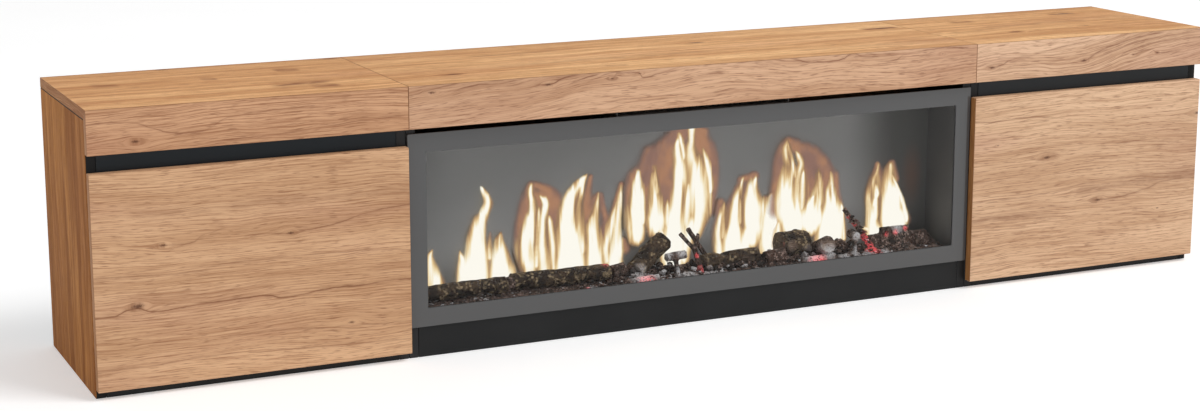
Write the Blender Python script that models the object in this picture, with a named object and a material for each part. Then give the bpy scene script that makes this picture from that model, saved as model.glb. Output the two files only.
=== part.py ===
# A low television stand with an electric log fire in its middle bay.
# Three carcasses stand side by side under oak tops whose front edges are mitred to a deep fascia.
# A drop-down flap closes each side bay, and a finger gap above the flap takes the place of a handle.
# Metres, +Z up, front towards -Y, origin under the middle of the stand at floor level.

import bpy
import bmesh
import math
import random
from mathutils import Matrix, Vector

mm = 0.001

# Driving sizes of the stand
cabinet_width = 510 * mm
fireplace_width = 1080 * mm
overall_depth = 339 * mm
overall_height = 452 * mm
board = 16 * mm
back_thickness = 3 * mm
fascia_height = 70 * mm
finger_gap = 28.5 * mm
door_floor_gap = 13.7 * mm

# Clearances and edge treatment
seat = 0.3 * mm
seam_gap = 0.6 * mm
door_gap = 1.5 * mm
door_reveal = 0.5 * mm
edge_round = 0.8 * mm
overrun = 5 * mm

# Front rail and kick board
rail_lap = 17.5 * mm
kick_height = 70 * mm

# Places that follow from the driving sizes
overall_width = 2 * cabinet_width + fireplace_width
left_end = -overall_width / 2
right_end = overall_width / 2
left_seam = left_end + cabinet_width
right_seam = right_end - cabinet_width
front = -overall_depth / 2
back = overall_depth / 2
carcass_front = front + board + door_gap
panel_back = back - back_thickness - seat
underside = overall_height - board
side_top = underside - seat
fascia_bottom = overall_height - fascia_height
door_top = fascia_bottom - finger_gap
rail_bottom = door_top - rail_lap
rail_front = front + board + seat
modules = {
    "left": (left_end, left_seam - seam_gap / 2),
    "centre": (left_seam + seam_gap / 2, right_seam - seam_gap / 2),
    "right": (right_seam + seam_gap / 2, right_end),
}
outward = {"left": -1, "right": 1}


def clear_scene():
    for old in list(bpy.data.objects):
        bpy.data.objects.remove(old, do_unlink=True)


def finish(name, colour, roughness, metallic=0.0):
    material = bpy.data.materials.new(name)
    material.use_nodes = True
    shader = material.node_tree.nodes["Principled BSDF"]
    shader.inputs["Base Color"].default_value = (*colour, 1.0)
    shader.inputs["Roughness"].default_value = roughness
    shader.inputs["Metallic"].default_value = metallic
    material.diffuse_color = (*colour, 1.0)
    return material


def piece_from(bm, name, material, smooth_degrees=0):
    bmesh.ops.recalc_face_normals(bm, faces=bm.faces[:])
    mesh = bpy.data.meshes.new(name)
    bm.to_mesh(mesh)
    bm.free()
    mesh.materials.append(material)
    if smooth_degrees:
        mesh.shade_smooth()
        mesh.set_sharp_from_angle(angle=math.radians(smooth_degrees))
    piece = bpy.data.objects.new(name, mesh)
    bpy.context.scene.collection.objects.link(piece)
    return piece


def hide_helper(helper):
    helper.hide_render = True
    helper.display_type = "WIRE"


def combine(piece, helper, operation):
    # A helper shape stays in the file as a wire outline and is cut from, or fused to, the piece.
    hide_helper(helper)
    modifier = piece.modifiers.new(helper.name, "BOOLEAN")
    modifier.operation = operation
    modifier.solver = "EXACT"
    modifier.object = helper


def cut(piece, helper):
    combine(piece, helper, "DIFFERENCE")


def fuse(piece, helper):
    combine(piece, helper, "UNION")


def place_origin(piece, point):
    piece.data.transform(Matrix.Translation(-Vector(point)))
    piece.location = point


def carry(parent, children):
    for child in children:
        child.parent = parent
        child.matrix_parent_inverse = Matrix.Translation(-parent.location)


def add_box(bm, low, high):
    verts = bmesh.ops.create_cube(bm, size=1)["verts"]
    middle = (Vector(low) + Vector(high)) / 2
    bmesh.ops.scale(bm, vec=Vector(high) - Vector(low), verts=verts)
    bmesh.ops.translate(bm, vec=middle, verts=verts)
    return verts


def add_prism(bm, outline, axis, start, end):
    # The outline is a closed loop of points in the plane square to the axis.
    order = {"X": (1, 2, 0), "Y": (0, 2, 1), "Z": (0, 1, 2)}[axis]
    verts = []
    for first, second in outline:
        point = Vector()
        point[order[0]] = first
        point[order[1]] = second
        point[order[2]] = start
        verts.append(bm.verts.new(point))
    face = bm.faces.new(verts)
    push = Vector()
    push[order[2]] = end - start
    made = bmesh.ops.extrude_face_region(bm, geom=[face], use_keep_orig=True)["geom"]
    moved = [item for item in made if isinstance(item, bmesh.types.BMVert)]
    bmesh.ops.translate(bm, vec=push, verts=moved)
    return verts + moved


def add_rod(bm, start, end, radius, sides):
    start = Vector(start)
    end = Vector(end)
    along = end - start
    turn = along.to_track_quat("Z", "Y").to_matrix().to_4x4()
    bmesh.ops.create_cone(
        bm, cap_ends=True, segments=sides, radius1=radius, radius2=radius, depth=along.length,
        matrix=Matrix.Translation((start + end) / 2) @ turn)


def arc(centre, radius, start_degrees, end_degrees, steps):
    points = []
    for step in range(steps + 1):
        angle = math.radians(start_degrees + (end_degrees - start_degrees) * step / steps)
        points.append((centre[0] + radius * math.cos(angle), centre[1] + radius * math.sin(angle)))
    return points


def capsule(start, end, radius, steps):
    # Two half circles joined by straight sides, with both centres on the first axis.
    return arc((start, 0), radius, 90, 270, steps) + arc((end, 0), radius, -90, 90, steps)


def rounded_rectangle(low, high, radius, steps):
    corners = [
        ((high[0] - radius, high[1] - radius), 0),
        ((low[0] + radius, high[1] - radius), 90),
        ((low[0] + radius, low[1] + radius), 180),
        ((high[0] - radius, low[1] + radius), 270),
    ]
    outline = []
    for centre, angle in corners:
        outline += arc(centre, radius, angle, angle + 90, steps)
    return outline


def box_piece(name, low, high, material):
    bm = bmesh.new()
    add_box(bm, low, high)
    return piece_from(bm, name, material)


def prism_piece(name, outline, axis, start, end, material, smooth_degrees=0):
    bm = bmesh.new()
    add_prism(bm, outline, axis, start, end)
    return piece_from(bm, name, material, smooth_degrees)


def rod_piece(name, start, end, radius, sides, material, smooth_degrees=0):
    bm = bmesh.new()
    add_rod(bm, start, end, radius, sides)
    return piece_from(bm, name, material, smooth_degrees)


def panel(name, low, high, material, rounding=edge_round):
    bm = bmesh.new()
    add_box(bm, low, high)
    bmesh.ops.bevel(bm, geom=bm.edges[:], offset=rounding, segments=1, affect="EDGES")
    return piece_from(bm, name, material)


# Carcasses

mitre_gap = seat * math.sqrt(2)


def top_board(side, oak):
    # The front edge is cut at 45 degrees and meets the fascia's upper edge.
    outline = [
        (front, overall_height),
        (back, overall_height),
        (back, underside),
        (front + board, underside),
    ]
    return prism_piece(side + "_top_board", outline, "X", *modules[side], oak)


def fascia(side, oak):
    outline = [
        (front, fascia_bottom + edge_round),
        (front + edge_round, fascia_bottom),
        (front + board, fascia_bottom),
        (front + board, underside - mitre_gap),
        (front, overall_height - mitre_gap),
    ]
    return prism_piece(side + "_fascia", outline, "X", *modules[side], oak)


def side_panel(name, low_x, material):
    return panel(name, (low_x, carcass_front, 0), (low_x + board, back, side_top), material)


def inner_span(side):
    low, high = modules[side]
    return low + board + seat, high - board - seat


def bottom_board(side, black):
    low, high = inner_span(side)
    bottom = kick_height - board if side == "centre" else 0
    near = carcass_front + board + seat if side == "centre" else carcass_front
    high_corner = (high, panel_back, bottom + board)
    floor_board = panel(side + "_bottom_board", (low, near, bottom), high_corner, black)
    if side in outward:
        for place, x in hinge_places(side).items():
            cut(floor_board, hinge_pocket(side, place, x, black))
    return floor_board


def front_rail(side, black):
    low, high = inner_span(side)
    low_corner = (low, rail_front, rail_bottom)
    high_corner = (high, rail_front + board, side_top)
    return panel(side + "_front_rail", low_corner, high_corner, black)


def kick_board(black):
    low, high = inner_span("centre")
    high_corner = (high, carcass_front + board, kick_height)
    return panel("kick_board", (low, carcass_front, 0), high_corner, black)


# Back panels with a rounded opening for cables, or for the fire's inlet and air in the middle

cable_hole_width = 90 * mm
cable_hole_height = 50 * mm
cable_hole_rise = 60 * mm
cable_hole_inset = 70 * mm
service_hole_width = 300 * mm
service_hole_height = 190 * mm
service_hole_inset = 40 * mm
hole_corner = 12 * mm

inlet_x = inner_span("centre")[1] - service_hole_inset - service_hole_width / 2


def back_panel(side, black):
    low, high = inner_span(side)
    near = back - back_thickness
    back_piece = box_piece(side + "_back_panel", (low, near, 0), (high, back, side_top), black)
    if side == "centre":
        left = inlet_x - service_hole_width / 2
        bottom = kick_height + seat
        size = (service_hole_width, service_hole_height)
    else:
        left = high - cable_hole_inset - cable_hole_width if side == "left" else low + cable_hole_inset
        bottom = cable_hole_rise
        size = (cable_hole_width, cable_hole_height)
    outline = rounded_rectangle((left, bottom), (left + size[0], bottom + size[1]), hole_corner, 3)
    cut(back_piece, prism_piece(side + "_back_cutter", outline, "Y", near - overrun, back + overrun, black))
    return back_piece


# Flap hinges: an arm sunk flush in the bottom board reaches through a notch in the flap to a pin in a cup

hinge_inset = 74 * mm
hinge_plate = 2 * mm
hinge_neck_width = 16 * mm
hinge_base_width = 34 * mm
hinge_base_length = 40 * mm
hinge_base_setback = 4 * mm
hinge_base_corner = 5 * mm
screw_hole_radius = 2.2 * mm
screw_hole_inset = 8 * mm
knuckle_radius = 3.2 * mm
pin_radius = 1.6 * mm
pin_play = 0.15 * mm
knuckle_play = 0.5 * mm
cup_cheek = 4.5 * mm
cup_web = 1.2 * mm
cup_crown = 3 * mm
cup_lip = 0.4 * mm
door_travel = 90

hinge_y = front + board / 2
hinge_near = carcass_front + hinge_base_setback
hinge_far = hinge_near + hinge_base_length
plate_top = board - seat
plate_bottom = plate_top - hinge_plate
hinge_z = plate_bottom + knuckle_radius
cup_inner_half = hinge_neck_width / 2 + knuckle_play
cup_outer_half = cup_inner_half + cup_cheek
cup_front = hinge_y - knuckle_radius - knuckle_play - cup_web
cup_back = front + board - cup_lip
cup_top = hinge_z + knuckle_radius + knuckle_play + cup_crown
cup_bottom = door_floor_gap + cup_lip


def door_span(side):
    low, high = modules[side]
    return low + door_reveal, high - door_reveal


def hinge_places(side):
    low, high = door_span(side)
    return {"outer": (low if side == "left" else high) - outward[side] * hinge_inset,
            "inner": (high if side == "left" else low) + outward[side] * hinge_inset}


def flap_door(side, oak):
    low, high = door_span(side)
    door = panel(side + "_door", (low, front, door_floor_gap), (high, front + board, door_top), oak)
    for place, x in hinge_places(side).items():
        notch = box_piece(
            side + "_" + place + "_notch",
            (x - cup_outer_half - seat, cup_front - seat, door_floor_gap - overrun),
            (x + cup_outer_half + seat, front + board + overrun, cup_top + seat), oak)
        cut(door, notch)
    place_origin(door, (x_middle(side), hinge_y, hinge_z))
    return door


def x_middle(side):
    return sum(door_span(side)) / 2


def hinge_pocket(side, place, x, black):
    # Routed from the board's front edge, so that the plate slides in from there
    half = hinge_base_width / 2 + seat
    far = hinge_far + seat
    corner = hinge_base_corner + seat
    outline = [(x - half, carcass_front - overrun), (x + half, carcass_front - overrun)]
    outline += arc((x + half - corner, far - corner), corner, 0, 90, 3)
    outline += arc((x - half + corner, far - corner), corner, 90, 180, 3)
    name = side + "_" + place + "_pocket"
    return prism_piece(name, outline, "Z", plate_bottom - seat, board + overrun, black)


def hinge_arm(side, place, x, steel):
    # The plate is tangent to the knuckle's underside, as a hinge leaf is.
    name = side + "_" + place + "_hinge_arm"
    half = hinge_base_width / 2
    neck_half = hinge_neck_width / 2
    base = rounded_rectangle((x - half, hinge_near), (x + half, hinge_far), hinge_base_corner, 3)
    arm = prism_piece(name, base, "Z", plate_bottom, plate_top, steel)
    neck = box_piece(
        name + "_neck", (x - neck_half, hinge_y, plate_bottom),
        (x + neck_half, hinge_near + hinge_base_corner, plate_top), steel)
    knuckle = rod_piece(
        name + "_knuckle", (x - neck_half, hinge_y, hinge_z), (x + neck_half, hinge_y, hinge_z),
        knuckle_radius, 20, steel)
    pin_half = cup_outer_half - cup_lip
    pin = rod_piece(
        name + "_pin", (x - pin_half, hinge_y, hinge_z), (x + pin_half, hinge_y, hinge_z),
        pin_radius, 16, steel)
    for helper in (neck, knuckle, pin):
        fuse(arm, helper)
    for shift in (-1, 1):
        hole_x = x + shift * (half - screw_hole_inset)
        hole_y = (hinge_near + hinge_far) / 2
        hole = rod_piece(
            name + "_screw_" + str(shift), (hole_x, hole_y, plate_bottom - overrun),
            (hole_x, hole_y, plate_top + overrun), screw_hole_radius, 12, steel)
        cut(arm, hole)
    return arm


def hinge_cup(side, place, x, steel):
    name = side + "_" + place + "_hinge_cup"
    cup = box_piece(
        name, (x - cup_outer_half, cup_front, cup_bottom), (x + cup_outer_half, cup_back, cup_top),
        steel)
    slot = box_piece(
        name + "_slot", (x - cup_inner_half, cup_front + cup_web, cup_bottom - overrun),
        (x + cup_inner_half, cup_back + overrun, cup_top - cup_crown), steel)
    bore = rod_piece(
        name + "_bore", (x - cup_outer_half - overrun, hinge_y, hinge_z),
        (x + cup_outer_half + overrun, hinge_y, hinge_z), pin_radius + pin_play, 16, steel)
    cut(cup, slot)
    cut(cup, bore)
    return cup


# Slotted stays. The stud stands on the circle that the flap's pin travels, so the line from the
# pin to the stud turns by exactly half the flap's angle and the slot can stay straight.

stay_radius = 150 * mm
stay_setback = 18 * mm
stud_degrees = 40
stay_thickness = 2 * mm
stay_half_width = 8 * mm
stay_inset = 6 * mm
stud_radius = 3 * mm
stud_head_radius = 5.5 * mm
stud_head = 1.6 * mm
slot_play = 0.4 * mm
stud_plate = 2 * mm
stud_plate_half = 15 * mm
tab_gap = 0.6 * mm
tab_thickness = 2 * mm
tab_half = 9 * mm
bracket_width = 22 * mm
bracket_plate = 2 * mm
bracket_half_height = 16 * mm

pin_degrees = math.degrees(math.asin(stay_setback / stay_radius))
closed_span = 2 * stay_radius * math.sin(math.radians(stud_degrees - pin_degrees) / 2)
open_span = 2 * stay_radius * math.sin(math.radians(stud_degrees - pin_degrees + door_travel) / 2)
stay_pin_y = hinge_y + stay_radius * math.sin(math.radians(pin_degrees))
stay_pin_z = hinge_z + stay_radius * math.cos(math.radians(pin_degrees))
stud_y = hinge_y + stay_radius * math.sin(math.radians(stud_degrees))
stud_z = hinge_z + stay_radius * math.cos(math.radians(stud_degrees))


def wall_face(side):
    # The inner face of the outer side panel, and the direction from it into the bay
    return (left_end + board, 1) if side == "left" else (right_end - board, -1)


def ordered(first, second):
    return min(first, second), max(first, second)


def stay_arm(side, steel):
    wall, into = wall_face(side)
    near_x = wall + into * stay_inset
    low_x, high_x = ordered(near_x, near_x + into * stay_thickness)
    name = side + "_stay_arm"
    arm = prism_piece(name, capsule(0, open_span, stay_half_width, 8), "X", low_x, high_x, steel)
    slot = prism_piece(
        name + "_slot", capsule(closed_span, open_span, stud_radius + slot_play, 6), "X",
        low_x - overrun, high_x + overrun, steel)
    eye = prism_piece(
        name + "_eye", capsule(0, 0, stud_radius + pin_play, 8)[:-1], "X",
        low_x - overrun, high_x + overrun, steel)
    for helper in (slot, eye):
        cut(arm, helper)
    lean = math.atan2(stud_z - stay_pin_z, stud_y - stay_pin_y)
    for item in (arm, slot, eye):
        item.location = (0, stay_pin_y, stay_pin_z)
        item.rotation_euler = (lean, 0, 0)
    return arm


def stay_stud(side, steel):
    wall, into = wall_face(side)
    name = side + "_stay_stud"
    plate_near = wall + into * seat
    plate_far = plate_near + into * stud_plate
    head_near = wall + into * (stay_inset + stay_thickness + tab_gap)
    head_far = head_near + into * stud_head
    outline = rounded_rectangle(
        (stud_y - stud_plate_half, stud_z - stud_plate_half),
        (stud_y + stud_plate_half, stud_z + stud_plate_half), hinge_base_corner, 3)
    plate = prism_piece(name, outline, "X", *ordered(plate_near, plate_far), steel)
    shank = rod_piece(
        name + "_shank", (plate_near + into * stud_plate / 2, stud_y, stud_z),
        (head_near + into * stud_head / 2, stud_y, stud_z), stud_radius, 20, steel)
    head = rod_piece(
        name + "_head", (head_near, stud_y, stud_z), (head_far, stud_y, stud_z),
        stud_head_radius, 20, steel)
    fuse(plate, shank)
    fuse(plate, head)
    for shift in (-1, 1):
        hole_z = stud_z + shift * (stud_plate_half - hinge_base_corner)
        hole = rod_piece(
            name + "_screw_" + str(shift), (wall - into * overrun, stud_y, hole_z),
            (plate_far + into * overrun, stud_y, hole_z), screw_hole_radius, 12, steel)
        cut(plate, hole)
    return plate


def stay_bracket(side, steel):
    wall, into = wall_face(side)
    name = side + "_stay_bracket"
    tab_near = wall + into * (stay_inset + stay_thickness + tab_gap)
    tab_far = tab_near + into * tab_thickness
    plate_y = front + board + seat
    low_x, high_x = ordered(tab_near, tab_near + into * bracket_width)
    plate = panel(
        name, (low_x, plate_y, stay_pin_z - bracket_half_height),
        (high_x, plate_y + bracket_plate, stay_pin_z + bracket_half_height), steel, bracket_plate / 4)
    root_y = plate_y + bracket_plate / 2
    tab_outline = [(root_y, stay_pin_z - tab_half)]
    tab_outline += arc((stay_pin_y, stay_pin_z), tab_half, -90, 90, 8)
    tab_outline.append((root_y, stay_pin_z + tab_half))
    tab = prism_piece(name + "_tab", tab_outline, "X", *ordered(tab_near, tab_far), steel)
    head_far = wall + into * (stay_inset - tab_gap)
    head_near = head_far - into * stud_head
    pin = rod_piece(
        name + "_pin", (tab_near + into * tab_thickness / 2, stay_pin_y, stay_pin_z),
        (head_near + into * stud_head / 2, stay_pin_y, stay_pin_z), stud_radius, 16, steel)
    head = rod_piece(
        name + "_head", (head_near, stay_pin_y, stay_pin_z), (head_far, stay_pin_y, stay_pin_z),
        stud_head_radius, 20, steel)
    for helper in (tab, pin, head):
        fuse(plate, helper)
    for shift in (-1, 1):
        hole_x = (high_x + low_x) / 2 + into * tab_thickness
        hole_z = stay_pin_z + shift * (bracket_half_height - hinge_base_corner)
        hole = rod_piece(
            name + "_screw_" + str(shift), (hole_x, plate_y - overrun, hole_z),
            (hole_x, plate_y + bracket_plate + overrun, hole_z), screw_hole_radius, 12, steel)
        cut(plate, hole)
    return plate


# Magnetic catches under the front rails, each with a strike plate on its flap

catch_width = 46 * mm
catch_height = 13 * mm
catch_depth = 14 * mm
catch_round = 1.2 * mm
strike_width = 38 * mm
strike_height = 11 * mm
strike_thickness = 1 * mm
pole_width = 3 * mm
pole_proud = 0.6 * mm

catch_top = rail_bottom - seat
strike_back = front + board + seat + strike_thickness


def catch(side, plastic):
    x = x_middle(side)
    pole_front = strike_back + seat
    case_front = pole_front + pole_proud
    body = panel(
        side + "_catch", (x - catch_width / 2, case_front, catch_top - catch_height),
        (x + catch_width / 2, case_front + catch_depth, catch_top), plastic, catch_round)
    for shift in (-1, 1):
        pole_x = x + shift * strike_width / 4
        pole = box_piece(
            side + "_catch_pole_" + str(shift),
            (pole_x - pole_width / 2, pole_front, catch_top - catch_height + catch_round),
            (pole_x + pole_width / 2, case_front + catch_round, catch_top - catch_round), plastic)
        fuse(body, pole)
    return body


def strike_plate(side, steel):
    x = x_middle(side)
    middle_z = catch_top - catch_height / 2
    outline = rounded_rectangle(
        (x - strike_width / 2, middle_z - strike_height / 2),
        (x + strike_width / 2, middle_z + strike_height / 2), strike_height / 4, 3)
    return prism_piece(side + "_strike_plate", outline, "Y", front + board + seat, strike_back, steel)


# Fire front: a pane of smoked glass that covers the middle carcass from the kick board upwards

glass_thickness = 4 * mm
glass_side_gap = 1.2 * mm
glass_lap = 18.5 * mm
air_slot = 9.8 * mm
glass_corner = 1.5 * mm
glass_arris = 0.4 * mm

glass_low_x = modules["centre"][0] + glass_side_gap
glass_high_x = modules["centre"][1] - glass_side_gap
glass_bottom = kick_height - glass_lap
glass_top = fascia_bottom - air_slot
glass_back = carcass_front - seat


def front_glass(glass):
    outline = rounded_rectangle((glass_low_x, glass_bottom), (glass_high_x, glass_top), glass_corner, 2)
    bm = bmesh.new()
    add_prism(bm, outline, "Y", glass_back - glass_thickness, glass_back)
    rims = [edge for edge in bm.edges if abs(edge.verts[0].co.y - edge.verts[1].co.y) < glass_arris]
    bmesh.ops.bevel(bm, geom=rims, offset=glass_arris, segments=1, affect="EDGES")
    return piece_from(bm, "front_glass", glass)


# Firebox: one folded sheet with a flange behind the glass on three sides, standing on the bottom board

sheet = 1.5 * mm
flange_gap = 2 * mm
flange_width = 14 * mm
flange_drop = 2 * mm
ceiling_drop = 20 * mm
firebox_depth = 180 * mm
inlet_rise = 52 * mm
module_hole_width = 28 * mm
module_hole_height = 58 * mm

flange_half = fireplace_width / 2 - seam_gap / 2 - board - flange_gap
wall_half = flange_half - flange_width
floor_z = kick_height + seat + sheet
flange_top = glass_top - flange_drop
ceiling_z = flange_top - ceiling_drop
firebox_back = carcass_front + firebox_depth
inlet_z = floor_z + inlet_rise


def firebox(steel):
    bm = bmesh.new()
    corners = [
        (-wall_half, carcass_front, floor_z), (wall_half, carcass_front, floor_z),
        (wall_half, carcass_front, ceiling_z), (-wall_half, carcass_front, ceiling_z)]
    mouth = [bm.verts.new(corner) for corner in corners]
    rim = [bm.edges.new((mouth[i], mouth[(i + 1) % 4])) for i in range(4)]
    made = bmesh.ops.extrude_edge_only(bm, edges=rim)["geom"]
    rear = [item for item in made if isinstance(item, bmesh.types.BMVert)]
    rear_edges = [
        item for item in made
        if isinstance(item, bmesh.types.BMEdge) and item.verts[0] in rear and item.verts[1] in rear]
    bmesh.ops.translate(bm, vec=(0, firebox_depth, 0), verts=rear)
    bmesh.ops.contextual_create(bm, geom=rear_edges)
    strip_side = flange_half - wall_half
    for edge, push in ((rim[1], (strip_side, 0, 0)), (rim[3], (-strip_side, 0, 0))):
        pushed = bmesh.ops.extrude_edge_only(bm, edges=[edge])["geom"]
        verts = [item for item in pushed if isinstance(item, bmesh.types.BMVert)]
        bmesh.ops.translate(bm, vec=push, verts=verts)
    head = [edge for edge in bm.edges if edge.is_boundary and
            all(abs(vert.co.z - ceiling_z) < sheet and abs(vert.co.y - carcass_front) < sheet
                for vert in edge.verts)]
    lifted = bmesh.ops.extrude_edge_only(bm, edges=head)["geom"]
    verts = [item for item in lifted if isinstance(item, bmesh.types.BMVert)]
    bmesh.ops.translate(bm, vec=(0, 0, flange_top - ceiling_z), verts=verts)
    box = piece_from(bm, "firebox", steel)
    rear_panel = max(box.data.polygons, key=lambda face: face.center.y)
    if rear_panel.normal.y > 0:
        box.data.flip_normals()
    folded = box.modifiers.new("sheet_metal", "SOLIDIFY")
    folded.thickness = sheet
    folded.offset = -1
    folded.use_even_offset = True
    hole = box_piece(
        "firebox_inlet_cutter",
        (inlet_x - module_hole_width / 2, firebox_back - overrun, inlet_z - module_hole_height / 2),
        (inlet_x + module_hole_width / 2, firebox_back + overrun, inlet_z + module_hole_height / 2), steel)
    cut(box, hole)
    return box


# Flame screen, ember bed and logs

screen_setback = 84 * mm
screen_thickness = 3 * mm
bed_front_gap = 4 * mm
bed_side_gap = 3 * mm
bed_thickness = 9 * mm
ember_height = 9 * mm
bed_columns = 84
bed_rows = 7

screen_front = carcass_front + screen_setback
bed_top = floor_z + seat + bed_thickness
bed_low_y = carcass_front + bed_front_gap
bed_high_y = screen_front - seat
bed_half = wall_half - bed_side_gap
bed_length = 2 * bed_half
bed_depth = bed_high_y - bed_low_y

# Each log: place along and across the bed, length and radius, turn on plan and lean, in degrees
log_radius = 17 * mm
log_shares = {
    "left_log": (-0.422, 0.42, 0.146, 0.95, 2, 0),
    "second_log": (-0.248, 0.50, 0.176, 1.00, -3, 0),
    "thick_log": (-0.079, 0.577, 0.082, 1.18, 20, 31),
    "long_log": (0.069, 0.38, 0.111, 1.00, 4, 0),
    "split_log": (0.205, 0.627, 0.054, 1.60, 0, 0),
}
# The log that is moulded in one piece with the bed at its right end: same order, without the lean
moulded_log_shares = (0.415, 0.50, 0.135, 0.85)
# Sticks, stubs and billets that are moulded in one piece with the bed. Each: where it starts and ends,
# along and across the bed and above it in log radii, then its radius
twig_shares = {
    "broken_stub": ((-0.155, 0.45, 0.70), (-0.130, 0.45, 0.94), 0.82),
    "left_billet": ((-0.145, 0.10, 0.11), (-0.079, 0.09, 0.23), 0.32),
    "left_cross_piece": ((-0.059, 0.28, 1.88), (-0.020, 0.30, 1.99), 0.47),
    "left_post": ((-0.040, 0.28, 1.70), (-0.042, 0.08, -0.24), 0.29),
    "fork_stem": ((-0.003, 0.30, 2.52), (0.006, 0.14, -0.24), 0.32),
    "fork_left_arm": ((-0.003, 0.30, 2.35), (-0.026, 0.45, 4.05), 0.25),
    "fork_right_arm": ((-0.003, 0.30, 2.29), (0.008, 0.40, 3.88), 0.22),
    "leaning_stick": ((0.003, 0.78, 4.05), (0.053, 0.78, -0.24), 0.29),
    "humped_log": ((0.133, 0.24, 0.58), (0.172, 0.25, 0.82), 0.82),
    "stump": ((0.252, 0.06, 1.64), (0.256, 0.63, 0.41), 0.94),
    "right_billet": ((0.199, 0.09, 0.17), (0.269, 0.09, 0.29), 0.32),
    "right_cross_piece": ((0.313, 0.10, 1.94), (0.314, 0.43, 2.11), 0.53),
    "right_post": ((0.313, 0.23, 1.82), (0.310, 0.08, -0.24), 0.29),
    "branch_top": ((0.311, 0.65, 4.52), (0.335, 0.48, 2.29), 0.29),
    "branch_foot": ((0.334, 0.49, 2.41), (0.358, 0.13, -0.24), 0.35),
    "upper_billet": ((0.380, 0.48, 1.88), (0.442, 0.55, 1.76), 0.41),
    "side_stub": ((0.448, 0.15, 0.58), (0.449, 0.50, 0.82), 0.53),
}
twig_sides = 10
log_sides = 14
log_rings = 9
bark_share = 0.10
moulded_bark_share = 0.08
foot_margin = 8 * mm


def flame_screen(smoked):
    return box_piece(
        "flame_screen", (-wall_half + seat, screen_front, floor_z + seat),
        (wall_half - seat, screen_front + screen_thickness, ceiling_z - seat), smoked)


def log_place(shares):
    along, across, length, radius, turn, lean = shares
    centre = Vector((along * bed_length, bed_low_y + across * bed_depth, 0))
    return centre, length * bed_length, radius * log_radius, math.radians(turn), math.radians(lean)


def ember_lift(x, y, chance):
    # Embers rise between the logs, and the bed stays flat where a log stands on it.
    lift = ember_height * chance
    for shares in log_shares.values():
        centre, length, radius, turn, lean = log_place(shares)
        offset = Matrix.Rotation(-turn, 2) @ Vector((x - centre.x, y - centre.y))
        outside = max(abs(offset.x) - length / 2, abs(offset.y) - radius)
        lift *= min(max((outside - foot_margin) / foot_margin, 0), 1)
    along, across, length, radius = moulded_log_shares
    reach = abs(x - along * bed_length) / (length * bed_length / 2)
    offset = (y - bed_low_y - across * bed_depth) / (radius * log_radius)
    if reach < 1 and abs(offset) < 1:
        crown = 2 * radius * log_radius * math.sqrt(1 - offset * offset)
        lift = max(lift, crown * (1 - moulded_bark_share * chance))
    return lift


def twig(name, shares, ash):
    start, end, radius = shares
    points = [(along * bed_length, bed_low_y + across * bed_depth, bed_top + height * log_radius)
              for along, across, height in (start, end)]
    return rod_piece(name + "_shape", *points, radius * log_radius, twig_sides, ash)


def ember_bed(ash):
    chance = random.Random(7)
    bm = bmesh.new()
    low_z = floor_z + seat
    rows = []
    for row in range(bed_rows + 1):
        y = bed_low_y + bed_depth * row / bed_rows
        rows.append([bm.verts.new((bed_length * (column / bed_columns - 1 / 2), y, low_z))
                     for column in range(bed_columns + 1)])
    floor_faces = [
        bm.faces.new((rows[j][i], rows[j][i + 1], rows[j + 1][i + 1], rows[j + 1][i]))
        for j in range(bed_rows) for i in range(bed_columns)]
    raised = bmesh.ops.extrude_face_region(bm, geom=floor_faces, use_keep_orig=True)["geom"]
    for item in raised:
        if isinstance(item, bmesh.types.BMVert):
            x, y = item.co.x, item.co.y
            rim = min(y - bed_low_y, bed_high_y - y, bed_half - abs(x))
            lift = ember_lift(x, y, chance.random()) if rim > seat else 0
            item.co.z = bed_top + lift
    underneath = [face for face in bm.faces if max(vert.co.z for vert in face.verts) < low_z + seat]
    bmesh.ops.dissolve_faces(bm, faces=underneath)
    bed = piece_from(bm, "ember_bed", ash, 40)
    for name, shares in twig_shares.items():
        fuse(bed, twig(name, shares, ash))
    return bed


def log_piece(name, shares, bark):
    # A bark cylinder with a wandering outline, sawn flat underneath where it stands on the bed
    chance = random.Random(name)
    centre, length, radius, turn, lean = log_place(shares)
    bm = bmesh.new()
    rings = []
    for ring in range(log_rings):
        x = length * (ring / (log_rings - 1) - 1 / 2)
        bow = radius * bark_share * math.sin(math.pi * ring / (log_rings - 1))
        points = []
        for side in range(log_sides):
            angle = 2 * math.pi * side / log_sides
            reach = radius * (1 - bark_share * chance.random())
            points.append(bm.verts.new((x, reach * math.cos(angle) + bow, reach * math.sin(angle))))
        rings.append(points)
    for first, second in zip(rings, rings[1:]):
        for side in range(log_sides):
            after = (side + 1) % log_sides
            bm.faces.new((first[side], first[after], second[after], second[side]))
    for end in (rings[0], rings[-1]):
        cap = bm.faces.new(end)
        rim = radius * bark_share
        bmesh.ops.inset_region(bm, faces=[cap], thickness=rim, depth=-rim / 2)
    lift = radius * (1 - 2 * bark_share) * math.cos(lean) + length / 2 * math.sin(lean) * (1 - bark_share)
    tilt = Matrix.Translation(centre + Vector((0, 0, bed_top + lift)))
    tilt = tilt @ Matrix.Rotation(turn, 4, "Z") @ Matrix.Rotation(-lean, 4, "Y")
    bmesh.ops.transform(bm, matrix=tilt, verts=bm.verts[:])
    sawn = bmesh.ops.bisect_plane(
        bm, geom=bm.verts[:] + bm.edges[:] + bm.faces[:], plane_co=(0, 0, bed_top + seat),
        plane_no=(0, 0, -1), clear_outer=True)["geom_cut"]
    bmesh.ops.contextual_create(bm, geom=[item for item in sawn if isinstance(item, bmesh.types.BMEdge)])
    return piece_from(bm, name, bark, 50)


# Flame rotor behind the screen, its bearing and motor, and the light bar that shines on it

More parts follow.
